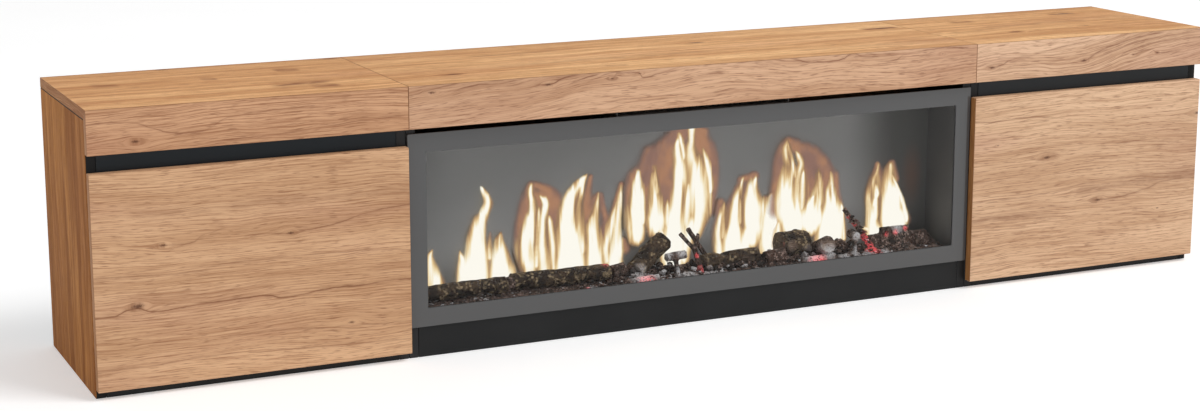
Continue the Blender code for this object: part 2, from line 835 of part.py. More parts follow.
rotor_setback = 126 * mm
rotor_rise = 36 * mm
rotor_shaft = 2.5 * mm
flag_reach = 20 * mm
flag_root_share = 0.25
flag_taper_share = 0.5
flag_count = 26
spindle_sides = 6
shaft_end = 14 * mm
bearing_width = 12 * mm
bearing_half = 11 * mm
bearing_bore_play = 0.1 * mm
bearing_end_gap = 4 * mm
rotor_motor_length = 34 * mm
rotor_motor_half = 21 * mm
rotor_motor_chamfer = 5 * mm
boss_radius = 7 * mm
boss_length = 6 * mm

rotor_y = carcass_front + rotor_setback
rotor_z = floor_z + rotor_rise
bearing_x = -wall_half + bearing_end_gap
rotor_motor_x = wall_half - bearing_end_gap - rotor_motor_length
rotor_low = bearing_x + bearing_width + seat
rotor_high = rotor_motor_x - boss_length - seat


def flame_rotor(foil):
    # A hexagonal spindle. One side face of each stretch is drawn out into a narrow flag, and the
    # next stretch's flag stands two faces further round.
    bm = bmesh.new()
    step = (rotor_high - rotor_low) / flag_count
    hexagon = arc((rotor_y, rotor_z), rotor_shaft, 0, 360, spindle_sides)[:-1]
    rings = []
    for ring in range(flag_count + 1):
        x = rotor_low + step * ring
        rings.append([bm.verts.new((x, *point)) for point in hexagon])
    flags = []
    for ring, (first, second) in enumerate(zip(rings, rings[1:])):
        for side in range(spindle_sides):
            after = (side + 1) % spindle_sides
            face = bm.faces.new((first[side], first[after], second[after], second[side]))
            if side == 2 * ring % spindle_sides and 0 < ring < flag_count - 1:
                flags.append(face)
    bm.faces.new(rings[0])
    bm.faces.new(rings[-1])
    bmesh.ops.recalc_face_normals(bm, faces=bm.faces[:])
    for root in flags:
        bmesh.ops.inset_individual(bm, faces=[root], thickness=rotor_shaft * flag_root_share)
        push = root.normal * flag_reach
        tip = bmesh.ops.extrude_discrete_faces(bm, faces=[root])["faces"][0]
        bmesh.ops.translate(bm, vec=push, verts=tip.verts[:])
        middle = tip.calc_center_median()
        bmesh.ops.scale(
            bm, vec=(1, flag_taper_share, flag_taper_share), verts=tip.verts[:],
            space=Matrix.Translation(-middle))
    rotor = piece_from(bm, "flame_rotor", foil)
    for name, near, far in (
            ("flame_rotor_left_shaft", bearing_x + seat, rotor_low + seat),
            ("flame_rotor_right_shaft", rotor_high - seat, rotor_high + seat + shaft_end)):
        shaft = rod_piece(
            name, (near, rotor_y, rotor_z), (far, rotor_y, rotor_z), rotor_shaft / 2, 16, foil)
        fuse(rotor, shaft)
    return rotor


def rotor_bearing(plastic):
    top = arc((rotor_y, rotor_z), bearing_half, 0, 180, 10)
    outline = top + [(rotor_y - bearing_half, floor_z + seat), (rotor_y + bearing_half, floor_z + seat)]
    block = prism_piece("rotor_bearing", outline, "X", bearing_x, bearing_x + bearing_width, plastic)
    bore = rod_piece(
        "rotor_bearing_bore", (bearing_x - overrun, rotor_y, rotor_z),
        (bearing_x + bearing_width + overrun, rotor_y, rotor_z),
        rotor_shaft / 2 + bearing_bore_play, 16, plastic)
    cut(block, bore)
    return block


def rotor_motor(casing):
    low_z = floor_z + seat
    high_z = rotor_z + rotor_motor_half
    edge = rotor_motor_chamfer
    low_y = rotor_y - rotor_motor_half
    high_y = rotor_y + rotor_motor_half
    outline = [
        (low_y, low_z), (high_y, low_z), (high_y, high_z - edge), (high_y - edge, high_z),
        (low_y + edge, high_z), (low_y, high_z - edge)]
    motor = prism_piece(
        "rotor_motor", outline, "X", rotor_motor_x, rotor_motor_x + rotor_motor_length, casing)
    boss = rod_piece(
        "rotor_motor_boss", (rotor_motor_x - boss_length, rotor_y, rotor_z),
        (rotor_motor_x + boss_length, rotor_y, rotor_z), boss_radius, 20, casing)
    bore = rod_piece(
        "rotor_motor_bore", (rotor_motor_x - boss_length - overrun, rotor_y, rotor_z),
        (rotor_high + shaft_end + boss_length, rotor_y, rotor_z),
        rotor_shaft / 2 + bearing_bore_play, 16, casing)
    fuse(motor, boss)
    cut(motor, bore)
    return motor


# Light bar: a channel on the firebox floor with a row of lamps facing the rotor

light_setback = 158 * mm
light_width = 14 * mm
light_height = 8 * mm
light_wall = 1.2 * mm
light_end_gap = 20 * mm
lamp_count = 18
lamp_size = 4 * mm
lamp_rise = 1.5 * mm


def light_bar(casing):
    low_y = carcass_front + light_setback
    high_y = low_y + light_width
    low_z = floor_z + seat
    lip_z = low_z + light_height
    web_z = low_z + light_height / 2
    outline = [
        (low_y, low_z), (high_y, low_z), (high_y, lip_z), (high_y - light_wall, lip_z),
        (high_y - light_wall, web_z), (low_y + light_wall, web_z), (low_y + light_wall, lip_z),
        (low_y, lip_z)]
    half = wall_half - light_end_gap
    bar = prism_piece("light_bar", outline, "X", -half, half, casing)
    bm = bmesh.new()
    pitch = 2 * half / lamp_count
    for lamp in range(lamp_count):
        x = -half + pitch * (lamp + 1 / 2)
        add_box(
            bm, (x - lamp_size / 2, (low_y + high_y - lamp_size) / 2, web_z - lamp_rise),
            (x + lamp_size / 2, (low_y + high_y + lamp_size) / 2, web_z + lamp_rise))
    fuse(bar, piece_from(bm, "light_bar_lamps", casing))
    return bar


# Fan heater on top of the firebox. It blows through the slot between the glass and the fascia.

case_length = 330 * mm
case_wall = 1.5 * mm
wheel_radius = 22 * mm
wheel_bore = 16 * mm
wheel_play = 3 * mm
wheel_end_play = 3 * mm
wheel_setback = 84 * mm
mouth_setback = 2 * mm
neck_setback = 22 * mm
flare_setback = 34 * mm
throat_half = 13 * mm
saddle_half = 18 * mm
intake_rise = 6 * mm
blade_count = 20
blade_thickness = 1 * mm
disc_thickness = 1.5 * mm
wheel_shaft = 3 * mm
wheel_shaft_length = 12 * mm
blower_motor_radius = 19 * mm
blower_motor_length = 36 * mm
blower_motor_step = 4 * mm
element_depth = 12 * mm
element_setback = 40 * mm
fin_count = 30
fin_thickness = 1.2 * mm

scroll_radius = wheel_radius + wheel_play
case_radius = scroll_radius + case_wall
case_bottom = ceiling_z + sheet + seat
wheel_y = carcass_front + wheel_setback
wheel_z = case_bottom + case_radius
wheel_half = case_length / 2 - case_wall - wheel_end_play
mouth_y = carcass_front + mouth_setback
neck_y = carcass_front + neck_setback
flare_y = carcass_front + flare_setback


def duct_outline(near_y, far_y, growth):
    # The duct's height: as tall as the air slot at its mouth, and wider at the throat by the wheel
    low = glass_top - growth
    high = fascia_bottom + growth
    return [
        (near_y, low), (neck_y - growth, low), (flare_y - growth, wheel_z - throat_half - growth),
        (far_y, wheel_z - throat_half - growth), (far_y, wheel_z + throat_half + growth),
        (flare_y - growth, wheel_z + throat_half + growth), (neck_y - growth, high), (near_y, high)]


def blower_case(galvanised):
    half = case_length / 2
    case = rod_piece(
        "blower_case", (-half, wheel_y, wheel_z), (half, wheel_y, wheel_z), case_radius, 32, galvanised, 30)
    duct = prism_piece(
        "blower_case_duct", duct_outline(mouth_y, wheel_y, case_wall), "X", -half, half, galvanised)
    saddle = box_piece(
        "blower_case_saddle", (-half, wheel_y - saddle_half, case_bottom),
        (half, wheel_y + saddle_half, wheel_z - scroll_radius / 2), galvanised)
    fuse(case, duct)
    fuse(case, saddle)
    inner = half - case_wall
    scroll = rod_piece(
        "blower_case_scroll", (-inner, wheel_y, wheel_z), (inner, wheel_y, wheel_z),
        scroll_radius, 32, galvanised)
    passage = prism_piece(
        "blower_case_passage", duct_outline(mouth_y - overrun, wheel_y, 0), "X", -inner, inner, galvanised)
    intake = box_piece(
        "blower_case_intake", (-inner + case_wall, wheel_y, wheel_z + intake_rise),
        (inner - case_wall, wheel_y + case_radius + overrun, wheel_z + case_radius + overrun), galvanised)
    shaft_hole = rod_piece(
        "blower_case_shaft_hole", (0, wheel_y, wheel_z), (half + overrun, wheel_y, wheel_z),
        wheel_shaft + seat, 16, galvanised)
    journal = rod_piece(
        "blower_case_journal", (-half - overrun, wheel_y, wheel_z), (0, wheel_y, wheel_z),
        wheel_shaft + bearing_bore_play, 16, galvanised)
    for helper in (scroll, passage, intake, shaft_hole, journal):
        cut(case, helper)
    return case


def blower_wheel(plastic):
    # Three rings joined by a cage of curved blades, with a hub disc at each end
    bm = bmesh.new()
    for x in (-wheel_half, wheel_half - disc_thickness, -disc_thickness / 2):
        add_rod(bm, (x, wheel_y, wheel_z), (x + disc_thickness, wheel_y, wheel_z), wheel_radius, 32)
    wheel = piece_from(bm, "blower_wheel", plastic)
    blades = bmesh.new()
    pitch = math.radians(360 / blade_count)
    for blade in range(blade_count):
        root = Matrix.Rotation(pitch * blade, 2) @ Vector((wheel_bore, 0))
        crest = Matrix.Rotation(pitch * (blade + 1), 2) @ Vector((wheel_radius - blade_thickness, 0))
        across = (crest - root).orthogonal().normalized() * blade_thickness
        belly = (root + crest) / 2 + across
        outline = [root, belly, crest, crest + across, belly + across, root + across]
        add_prism(
            blades, [(wheel_y + point.x, wheel_z + point.y) for point in outline], "X",
            -wheel_half + disc_thickness / 2, wheel_half - disc_thickness / 2)
    fuse(wheel, piece_from(blades, "blower_wheel_blades", plastic))
    journal = rod_piece(
        "blower_wheel_journal", (-case_length / 2 + case_wall / 4, wheel_y, wheel_z),
        (-wheel_half + disc_thickness / 2, wheel_y, wheel_z), wheel_shaft, 16, plastic)
    shaft = rod_piece(
        "blower_wheel_shaft", (wheel_half - disc_thickness / 2, wheel_y, wheel_z),
        (case_length / 2 + seat + wheel_shaft_length, wheel_y, wheel_z), wheel_shaft, 16, plastic)
    fuse(wheel, journal)
    fuse(wheel, shaft)
    place_origin(wheel, (0, wheel_y, wheel_z))
    return wheel


def blower_motor(casing):
    near = case_length / 2 + seat
    far = near + blower_motor_length
    motor = rod_piece(
        "blower_motor", (near, wheel_y, wheel_z), (far, wheel_y, wheel_z),
        blower_motor_radius, 28, casing, 30)
    collar = rod_piece(
        "blower_motor_collar", (far - blower_motor_step, wheel_y, wheel_z),
        (far + blower_motor_step, wheel_y, wheel_z), blower_motor_radius / 2, 20, casing)
    bore = rod_piece(
        "blower_motor_bore", (near - overrun, wheel_y, wheel_z),
        (near + wheel_shaft_length + blower_motor_step, wheel_y, wheel_z),
        wheel_shaft + bearing_bore_play, 16, casing)
    fuse(motor, collar)
    cut(motor, bore)
    return motor


def heating_element(ceramic):
    # A flat core with cooling fins, held by the duct's top and bottom
    half = case_length / 2 - case_wall - seat
    low_y = carcass_front + element_setback
    high_y = low_y + element_depth
    low_z = wheel_z - throat_half + seat
    high_z = wheel_z + throat_half - seat
    element = box_piece(
        "heating_element", (-half, (low_y + high_y) / 2 - fin_thickness, low_z),
        (half, (low_y + high_y) / 2 + fin_thickness, high_z), ceramic)
    bm = bmesh.new()
    pitch = 2 * half / fin_count
    for fin in range(fin_count):
        x = -half + pitch * (fin + 1 / 2)
        add_box(
            bm, (x - fin_thickness / 2, low_y, low_z + fin_thickness),
            (x + fin_thickness / 2, high_y, high_z - fin_thickness))
    fuse(element, piece_from(bm, "heating_element_fins", ceramic))
    return element


# Power inlet with its rocker switch, in the back of the firebox

flange_lip = 4 * mm
flange_plate = 2.5 * mm
module_play = 0.5 * mm
module_depth = 24 * mm
plug_width = 21 * mm
plug_height = 15 * mm
plug_chamfer = 4 * mm
plug_depth = 18 * mm
blade_width = 2 * mm
blade_height = 4 * mm
blade_pitch = 7 * mm
blade_tip_gap = 3 * mm
rocker_width = 15 * mm
rocker_height = 21 * mm
rocker_depth = 8 * mm
rocker_play = 0.6 * mm
rocker_pin = 1.5 * mm
rocker_pin_length = 1.5 * mm
rocker_travel = 16
rocker_crown = 2.2 * mm
socket_gap = 5 * mm

module_half_width = module_hole_width / 2 - module_play
module_half_height = module_hole_height / 2 - module_play
module_back = firebox_back + sheet + seat + flange_plate
plug_z = inlet_z - socket_gap / 2 - plug_height / 2
rocker_z = inlet_z + socket_gap / 2 + rocker_play + rocker_height / 2
rocker_y = module_back - rocker_pin - rocker_play


def inlet_socket(plastic):
    flange_half_width = module_half_width + flange_lip
    flange_half_height = module_half_height + flange_lip
    flange = panel(
        "inlet_socket",
        (inlet_x - flange_half_width, module_back - flange_plate, inlet_z - flange_half_height),
        (inlet_x + flange_half_width, module_back, inlet_z + flange_half_height),
        plastic, flange_plate / 4)
    body = box_piece(
        "inlet_socket_body",
        (inlet_x - module_half_width, module_back - module_depth, inlet_z - module_half_height),
        (inlet_x + module_half_width, module_back - flange_plate / 2, inlet_z + module_half_height),
        plastic)
    fuse(flange, body)
    low = (inlet_x - plug_width / 2, plug_z - plug_height / 2)
    high = (inlet_x + plug_width / 2, plug_z + plug_height / 2)
    outline = [
        low, (high[0], low[1]), (high[0], high[1] - plug_chamfer), (high[0] - plug_chamfer, high[1]),
        (low[0] + plug_chamfer, high[1]), (low[0], high[1] - plug_chamfer)]
    recess = prism_piece(
        "inlet_socket_recess", outline, "Y", module_back - plug_depth, module_back + overrun, plastic)
    well = box_piece(
        "inlet_socket_well",
        (inlet_x - rocker_width / 2 - rocker_play, rocker_y - rocker_depth - rocker_play,
         rocker_z - rocker_height / 2 - rocker_play),
        (inlet_x + rocker_width / 2 + rocker_play, module_back + overrun,
         rocker_z + rocker_height / 2 + rocker_play), plastic)
    pivot_half = rocker_width / 2 + rocker_play + rocker_pin_length
    pivots = rod_piece(
        "inlet_socket_pivots", (inlet_x - pivot_half, rocker_y, rocker_z),
        (inlet_x + pivot_half, rocker_y, rocker_z), rocker_pin + pin_play, 16, plastic)
    for helper in (recess, well, pivots):
        cut(flange, helper)
    bm = bmesh.new()
    for shift, drop in ((-1, 0), (0, 1), (1, 0)):
        x = inlet_x + shift * blade_pitch
        z = plug_z - blade_height / 4 + drop * blade_height / 2
        add_box(
            bm, (x - blade_width / 2, module_back - plug_depth - flange_plate / 2, z - blade_height / 2),
            (x + blade_width / 2, module_back - blade_tip_gap, z + blade_height / 2))
    fuse(flange, piece_from(bm, "inlet_socket_blades", plastic))
    return flange


def rocker_switch(plastic):
    # Seen from the side it is a shallow V, and it is stored with its lower half pressed in.
    half = rocker_height / 2
    dip = rocker_y + rocker_pin / 2
    outline = [
        (dip, rocker_z), (dip + rocker_crown, rocker_z + half), (rocker_y - rocker_crown, rocker_z + half),
        (rocker_y - rocker_depth + rocker_crown, rocker_z + half / 2),
        (rocker_y - rocker_depth + rocker_crown, rocker_z - half / 2),
        (rocker_y - rocker_crown, rocker_z - half), (dip + rocker_crown, rocker_z - half)]
    rocker = prism_piece(
        "rocker_switch", outline, "X", inlet_x - rocker_width / 2, inlet_x + rocker_width / 2, plastic)
    pin_half = rocker_width / 2 + rocker_play + rocker_pin_length / 2
    pins = rod_piece(
        "rocker_switch_pins", (inlet_x - pin_half, rocker_y, rocker_z),
        (inlet_x + pin_half, rocker_y, rocker_z), rocker_pin, 16, plastic)
    fuse(rocker, pins)
    for item in (rocker, pins):
        place_origin(item, (inlet_x, rocker_y, rocker_z))
        item.rotation_euler = (math.radians(-rocker_travel / 2), 0, 0)
    return rocker


def build_stand():
    clear_scene()
    oak = finish("oak_decor", (0.60, 0.38, 0.22), 0.55)
    side_oak = finish("oak_side_decor", (0.40, 0.24, 0.13), 0.55)
    black = finish("black_board", (0.018, 0.018, 0.019), 0.45)
    steel = finish("zinc_plated_steel", (0.62, 0.62, 0.63), 0.35, 1.0)
    dark_sheet = finish("black_sheet_steel", (0.02, 0.02, 0.02), 0.5)
    galvanised = finish("galvanised_sheet", (0.55, 0.56, 0.57), 0.45, 1.0)
    glass = finish("smoked_glass", (0.05, 0.05, 0.05), 0.05)
    screen = finish("smoked_screen", (0.03, 0.03, 0.03), 0.2)
    bark = finish("moulded_bark", (0.07, 0.045, 0.03), 0.9)
    ash = finish("moulded_embers", (0.09, 0.05, 0.04), 0.9)
    foil = finish("rotor_foil", (0.8, 0.8, 0.8), 0.15, 1.0)
    plastic = finish("black_plastic", (0.02, 0.02, 0.02), 0.4)
    white_plastic = finish("pale_plastic", (0.7, 0.7, 0.68), 0.4)
    casing = finish("motor_casing", (0.35, 0.36, 0.37), 0.4, 1.0)

    fixed = [firebox(dark_sheet), front_glass(glass), flame_screen(screen)]
    fixed += [ember_bed(ash), kick_board(black)]
    for side, (low, high) in modules.items():
        names = {"left": ("left_outer_side", "left_inner_side"),
                 "centre": ("centre_left_side", "centre_right_side"),
                 "right": ("right_inner_side", "right_outer_side")}[side]
        for name, low_x in zip(names, (low, high - board)):
            fixed.append(side_panel(name, low_x, side_oak if "outer" in name else black))
        fixed += [top_board(side, oak), fascia(side, oak)]
        fixed += [bottom_board(side, black), back_panel(side, black)]
    for name, shares in log_shares.items():
        fixed.append(log_piece(name, shares, bark))
    fixed += [rotor_bearing(white_plastic), rotor_motor(casing), light_bar(casing), blower_case(galvanised),
              blower_motor(casing), heating_element(casing), inlet_socket(plastic)]
    moving = [blower_wheel(plastic), rocker_switch(plastic)]
    rotor = flame_rotor(foil)
    place_origin(rotor, (0, rotor_y, rotor_z))
    moving.append(rotor)

    for side in outward:
        door = flap_door(side, oak)
        hardware = [stay_arm(side, steel), stay_bracket(side, steel), strike_plate(side, steel)]
        fixed += [front_rail(side, black), stay_stud(side, steel), catch(side, white_plastic)]
        for place, x in hinge_places(side).items():
            fixed.append(hinge_arm(side, place, x, steel))
            hardware.append(hinge_cup(side, place, x, steel))
        carry(door, hardware)
        moving.append(door)

    stand = bpy.data.objects.new("stand", None)
    bpy.context.scene.collection.objects.link(stand)
    carry(stand, fixed + moving)


build_stand()
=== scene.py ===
import math
import random

import bpy
import numpy
from mathutils import Matrix, Vector, noise


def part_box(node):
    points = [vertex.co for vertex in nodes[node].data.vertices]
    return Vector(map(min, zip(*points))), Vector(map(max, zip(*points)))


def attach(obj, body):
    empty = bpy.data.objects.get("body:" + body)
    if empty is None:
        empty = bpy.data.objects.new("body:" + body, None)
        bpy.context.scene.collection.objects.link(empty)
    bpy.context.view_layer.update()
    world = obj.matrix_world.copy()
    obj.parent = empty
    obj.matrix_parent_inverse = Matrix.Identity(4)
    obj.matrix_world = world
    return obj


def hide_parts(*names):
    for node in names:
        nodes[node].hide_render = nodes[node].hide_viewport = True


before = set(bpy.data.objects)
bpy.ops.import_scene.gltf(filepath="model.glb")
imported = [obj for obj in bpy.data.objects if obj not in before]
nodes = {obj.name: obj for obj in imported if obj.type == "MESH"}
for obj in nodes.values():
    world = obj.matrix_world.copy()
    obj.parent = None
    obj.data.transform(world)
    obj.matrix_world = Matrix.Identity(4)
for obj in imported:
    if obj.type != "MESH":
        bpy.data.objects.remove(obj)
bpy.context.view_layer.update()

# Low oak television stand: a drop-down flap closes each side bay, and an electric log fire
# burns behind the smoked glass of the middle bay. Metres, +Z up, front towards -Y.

mm = 0.001
print("frame loaded:", len(nodes), "nodes")


def inMetres(rows):
    return [[value * mm for value in row] for row in rows]


# Small helpers for building node materials

class Finish:
    def __init__(self, name):
        self.material = bpy.data.materials.new(name)
        self.material.use_nodes = True
        self.tree = self.material.node_tree
        self.shader = self.tree.nodes["Principled BSDF"]
        self.place = self.add("TexCoord", "Object")

    def feed(self, socket, value):
        if isinstance(value, bpy.types.NodeSocket):
            self.tree.links.new(value, socket)
        else:
            socket.default_value = value

    def add(self, kind, output=0, inputs=(), **settings):
        node = self.tree.nodes.new("ShaderNode" + kind)
        for name, value in settings.items():
            setattr(node, name, value)
        for socket, value in dict(inputs).items():
            self.feed(node.inputs[socket], value)
        return node.outputs[output]

    def maths(self, operation, *values, clamp=False):
        return self.add("Math", inputs=enumerate(values), operation=operation, use_clamp=clamp)

    def plus(self, first, second):
        return self.maths("ADD", first, second)

    def minus(self, first, second):
        return self.maths("SUBTRACT", first, second)

    def times(self, first, second, clamp=False):
        return self.maths("MULTIPLY", first, second, clamp=clamp)

    def least(self, first, second):
        return self.maths("MINIMUM", first, second)

    def most(self, first, second):
        return self.maths("MAXIMUM", first, second)

    def axes(self):
        node = self.tree.nodes.new("ShaderNodeSeparateXYZ")
        self.feed(node.inputs[0], self.place)
        return node.outputs[0], node.outputs[1], node.outputs[2]

    def point(self, x, y, z):
        return self.add("CombineXYZ", inputs={0: x, 1: y, 2: z})

    def scaled(self, scale):
        return self.add("Mapping", inputs={"Vector": self.place, "Scale": scale})

    def noise(self, vector, scale=1.0, detail=3.0, roughness=0.5, distortion=0.0):
        wanted = {"Vector": vector, "Scale": scale, "Detail": detail, "Roughness": roughness}
        return self.add("TexNoise", "Fac", {**wanted, "Distortion": distortion})

    def cells(self, vector, scale, feature="F1", output="Distance"):
        return self.add("TexVoronoi", output, {"Vector": vector, "Scale": scale}, feature=feature)

    def fade(self, value, low, high, start=0.0, end=1.0):
        # Runs smoothly from start to end while value goes from low to high
        return self.add("MapRange", 0, {0: value, 1: low, 2: high, 3: start, 4: end},
                        interpolation_type="SMOOTHSTEP")

    def course(self, value, places):
        # Height of a line over value, drawn through the places (along, across)
        first, last = places[0][0], places[-1][0]
        node = self.tree.nodes.new("ShaderNodeFloatCurve")
        line = node.mapping.curves[0]
        low = min(across for along, across in places)
        high = max(across for along, across in places) + 1 * mm
        for index, (along, across) in enumerate(places):
            spot = ((along - first) / (last - first), (across - low) / (high - low))
            if index in (0, len(places) - 1):
                line.points[0 if index == 0 else -1].location = spot
            else:
                line.points.new(*spot)
        node.mapping.update()
        share = self.add("MapRange", 0, {0: value, 1: first, 2: last})
        self.feed(node.inputs["Value"], share)
        return self.maths("MULTIPLY_ADD", node.outputs[0], high - low, low)

    def mix(self, factor, first, second, blend="MIX"):
        # A Mix node takes its colours at the sockets 6 and 7 and gives them out at 2
        inputs = {0: factor, 6: rgba(first), 7: rgba(second)}
        return self.add("Mix", 2, inputs, data_type="RGBA", blend_type=blend)

    def relief(self, height, distance, strength):
        return self.add("Bump", 0, {"Height": height, "Distance": distance, "Strength": strength})

    def edges(self, box, width):
        # 1 along the outer edges of a board that fills the box, 0 away from them
        low, high = box
        near = []
        for axis, value in enumerate(self.axes()):
            first = self.minus(value, low[axis])
            second = self.minus(high[axis], value)
            near.append(self.maths("ABSOLUTE", self.least(first, second)))
        nearest = self.least(self.least(near[0], near[1]), near[2])
        farthest = self.most(self.most(near[0], near[1]), near[2])
        total = self.plus(self.plus(near[0], near[1]), near[2])
        middle = self.minus(self.minus(total, nearest), farthest)
        return self.fade(middle, 0.0, width, 1.0, 0.0)

    def out(self, colour=None, rough=None, normal=None, **constant):
        for socket, value in (("Base Color", colour), ("Roughness", rough), ("Normal", normal)):
            if value is not None:
                self.feed(self.shader.inputs[socket], value)
        for name, value in constant.items():
            words = name.replace("_", " ")
            self.shader.inputs[words].default_value = value
        return self.material


def rgba(value):
    if isinstance(value, (tuple, list)) and len(value) == 3:
        return (*value, 1.0)
    return value


def wear(name, material):
    # Puts a finish on a CAD node
    for holder in nodes[name].material_slots:
        holder.material = material


# Helpers for the modelled pieces

def deselectAll():
    if bpy.context.object and bpy.context.object.mode != "OBJECT":
        bpy.ops.object.mode_set(mode="OBJECT")
    bpy.ops.object.select_all(action="DESELECT")


def makeActive(piece):
    deselectAll()
    piece.select_set(True)
    bpy.context.view_layer.objects.active = piece


def applyPlace(piece):
    makeActive(piece)
    bpy.ops.object.transform_apply(location=True, rotation=True, scale=True)


def applyModifiers(piece):
    makeActive(piece)
    for modifier in list(piece.modifiers):
        bpy.ops.object.modifier_apply(modifier=modifier.name)


def settle(piece, name, material, body="carcass", smooth=None):
    # Names a finished piece, gives it its finish and makes it ride on its body
    piece.name = name
    piece.data.name = name
    piece.data.materials.clear()
    piece.data.materials.append(material)
    if smooth:
        makeActive(piece)
        bpy.ops.object.shade_smooth_by_angle(angle=math.radians(smooth))
    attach(piece, body)


def storePoints(piece, name, values):
    layer = piece.data.attributes.new(name, "FLOAT", "POINT")
    layer.data.foreach_set("value", values)


weldReach = 0.02 * mm


def copyOfNode(name, voxel):
    # A merged, evenly meshed copy of a CAD node, for a surface with fine relief
    copy = nodes[name].copy()
    copy.data = nodes[name].data.copy()
    copy.parent = None
    for key in list(copy.keys()):
        del copy[key]
    bpy.context.scene.collection.objects.link(copy)
    makeActive(copy)
    bpy.ops.object.mode_set(mode="EDIT")
    bpy.ops.mesh.select_all(action="SELECT")
    bpy.ops.mesh.remove_doubles(threshold=weldReach)
    bpy.ops.mesh.normals_make_consistent(inside=False)
    bpy.ops.object.mode_set(mode="OBJECT")
    remesh = copy.modifiers.new("even", "REMESH")
    remesh.mode = "VOXEL"
    remesh.voxel_size = voxel
    applyModifiers(copy)
    return copy


# Oak decor. The grain runs along x on tops, fascias and flaps, and upright on the outer sides.

oakLook = {
    "light": (0.700, 0.435, 0.255),
    "middle": (0.545, 0.315, 0.174),
    "dark": (0.345, 0.168, 0.085),
    "line": (0.235, 0.105, 0.055),
    "knot": (0.115, 0.050, 0.030),
    "pink": (0.500, 0.270, 0.170),
    "ringPitch": 5.4 * mm,
    "ringDrift": 9.0,
    "roughness": (0.42, 0.58),
    "poreDepth": 0.12 * mm,
    "edgeWidth": 1.0 * mm,
    "endStrip": 0.15 * mm,  # a face this near the board's end counts as its end strip
    "endTint": (0.74, 0.59, 0.39),
    "outerSkin": 0.9 * mm,  # oak on the outer sides, which are black behind it
    # Width of the black strip painted along the top of the outer sides, as shade of the gap under the top
    # board
    "topGapShade": 1.4 * mm,
    "innerBlack": (0.025, 0.0255, 0.026),
    "innerRoughness": (0.44, 0.44, 0.44),
}
# Scale along and across the grain, detail, roughness and shift of each pattern
oakPatterns = {
    "bend": (1.1, 4.0, 2.0, 0.5, 1.1),
    "wave": (4.5, 8.0, 2.0, 0.5, 4.5),
    "quiver": (15.0, 22.0, 2.0, 0.5, 15.0),
    "tone": (1.3, 15.0, 3.0, 0.55, 0.0),
    "blush": (1.8, 9.0, 2.0, 0.5, 5.0),
    "figure": (2.6, 95.0, 4.0, 0.62, 0.0),
    "fibre": (10.0, 520.0, 4.0, 0.64, 0.0),
    "fleck": (38.0, 560.0, 2.0, 0.5, 2.0),
    "drift": (6.0, 30.0, 2.0, 0.5, 7.0),
    "rings": (1.9, 13.0, 2.0, 0.5, 3.7),
    "bands": (1.5, 34.0, 3.0, 0.6, 11.0),
    "fray": (45.0, 90.0, 3.0, 0.5, 0.0),
    "gaps": (24.0, 60.0, 2.0, 0.5, 9.0),
}
wander = {"bend": 75 * mm, "wave": 20 * mm, "quiver": 2.2 * mm}  # how far each moves the lines
# A knot is drawn out along the grain and has a ragged edge; a streak is a dark line in a paler, wider one
knotLook = {"squash": 0.36, "ragged": 420.0, "raggedShare": 1.2, "edgeShares": (0.7, 1.8), "strength": 0.88}
streakLook = {"fray": 3.0, "mostFray": 8 * mm, "halo": 3.2, "fadeOut": 30 * mm, "weights": (0.75, 0.40)}
# What a board has unless it says otherwise below. The wave widens the smaller swings of its lines, the next
# values say how strongly each pattern shows, and the figure climbs and falls with the lean.
anyBoard = {
    "wave": 1.0, "fibre": 0.80, "figure": 0.42, "rings": 0.34, "blush": 0.7, "bands": 0.0, "gloss": 0.08,
    "dark": oakLook["dark"], "upright": False, "flat": False, "lean": [], "knots": [], "streaks": [],
}
# A board's tint is partly its own tone and partly painted light and shade: the tops and the right-hand fronts
# are tinted paler where more light falls on them, the left fascia a little darker, and the outer sides darker
# still, as painted shade.
topBoard = {"gloss": 0.03, "figure": 0.9, "bands": 0.62, "flat": True, "dark": (0.355, 0.150, 0.062)}
sideBoard = {"tint": (0.765, 0.55, 0.266), "upright": True, "gloss": 0.01, "figure": 1.0, "bands": 1.0}
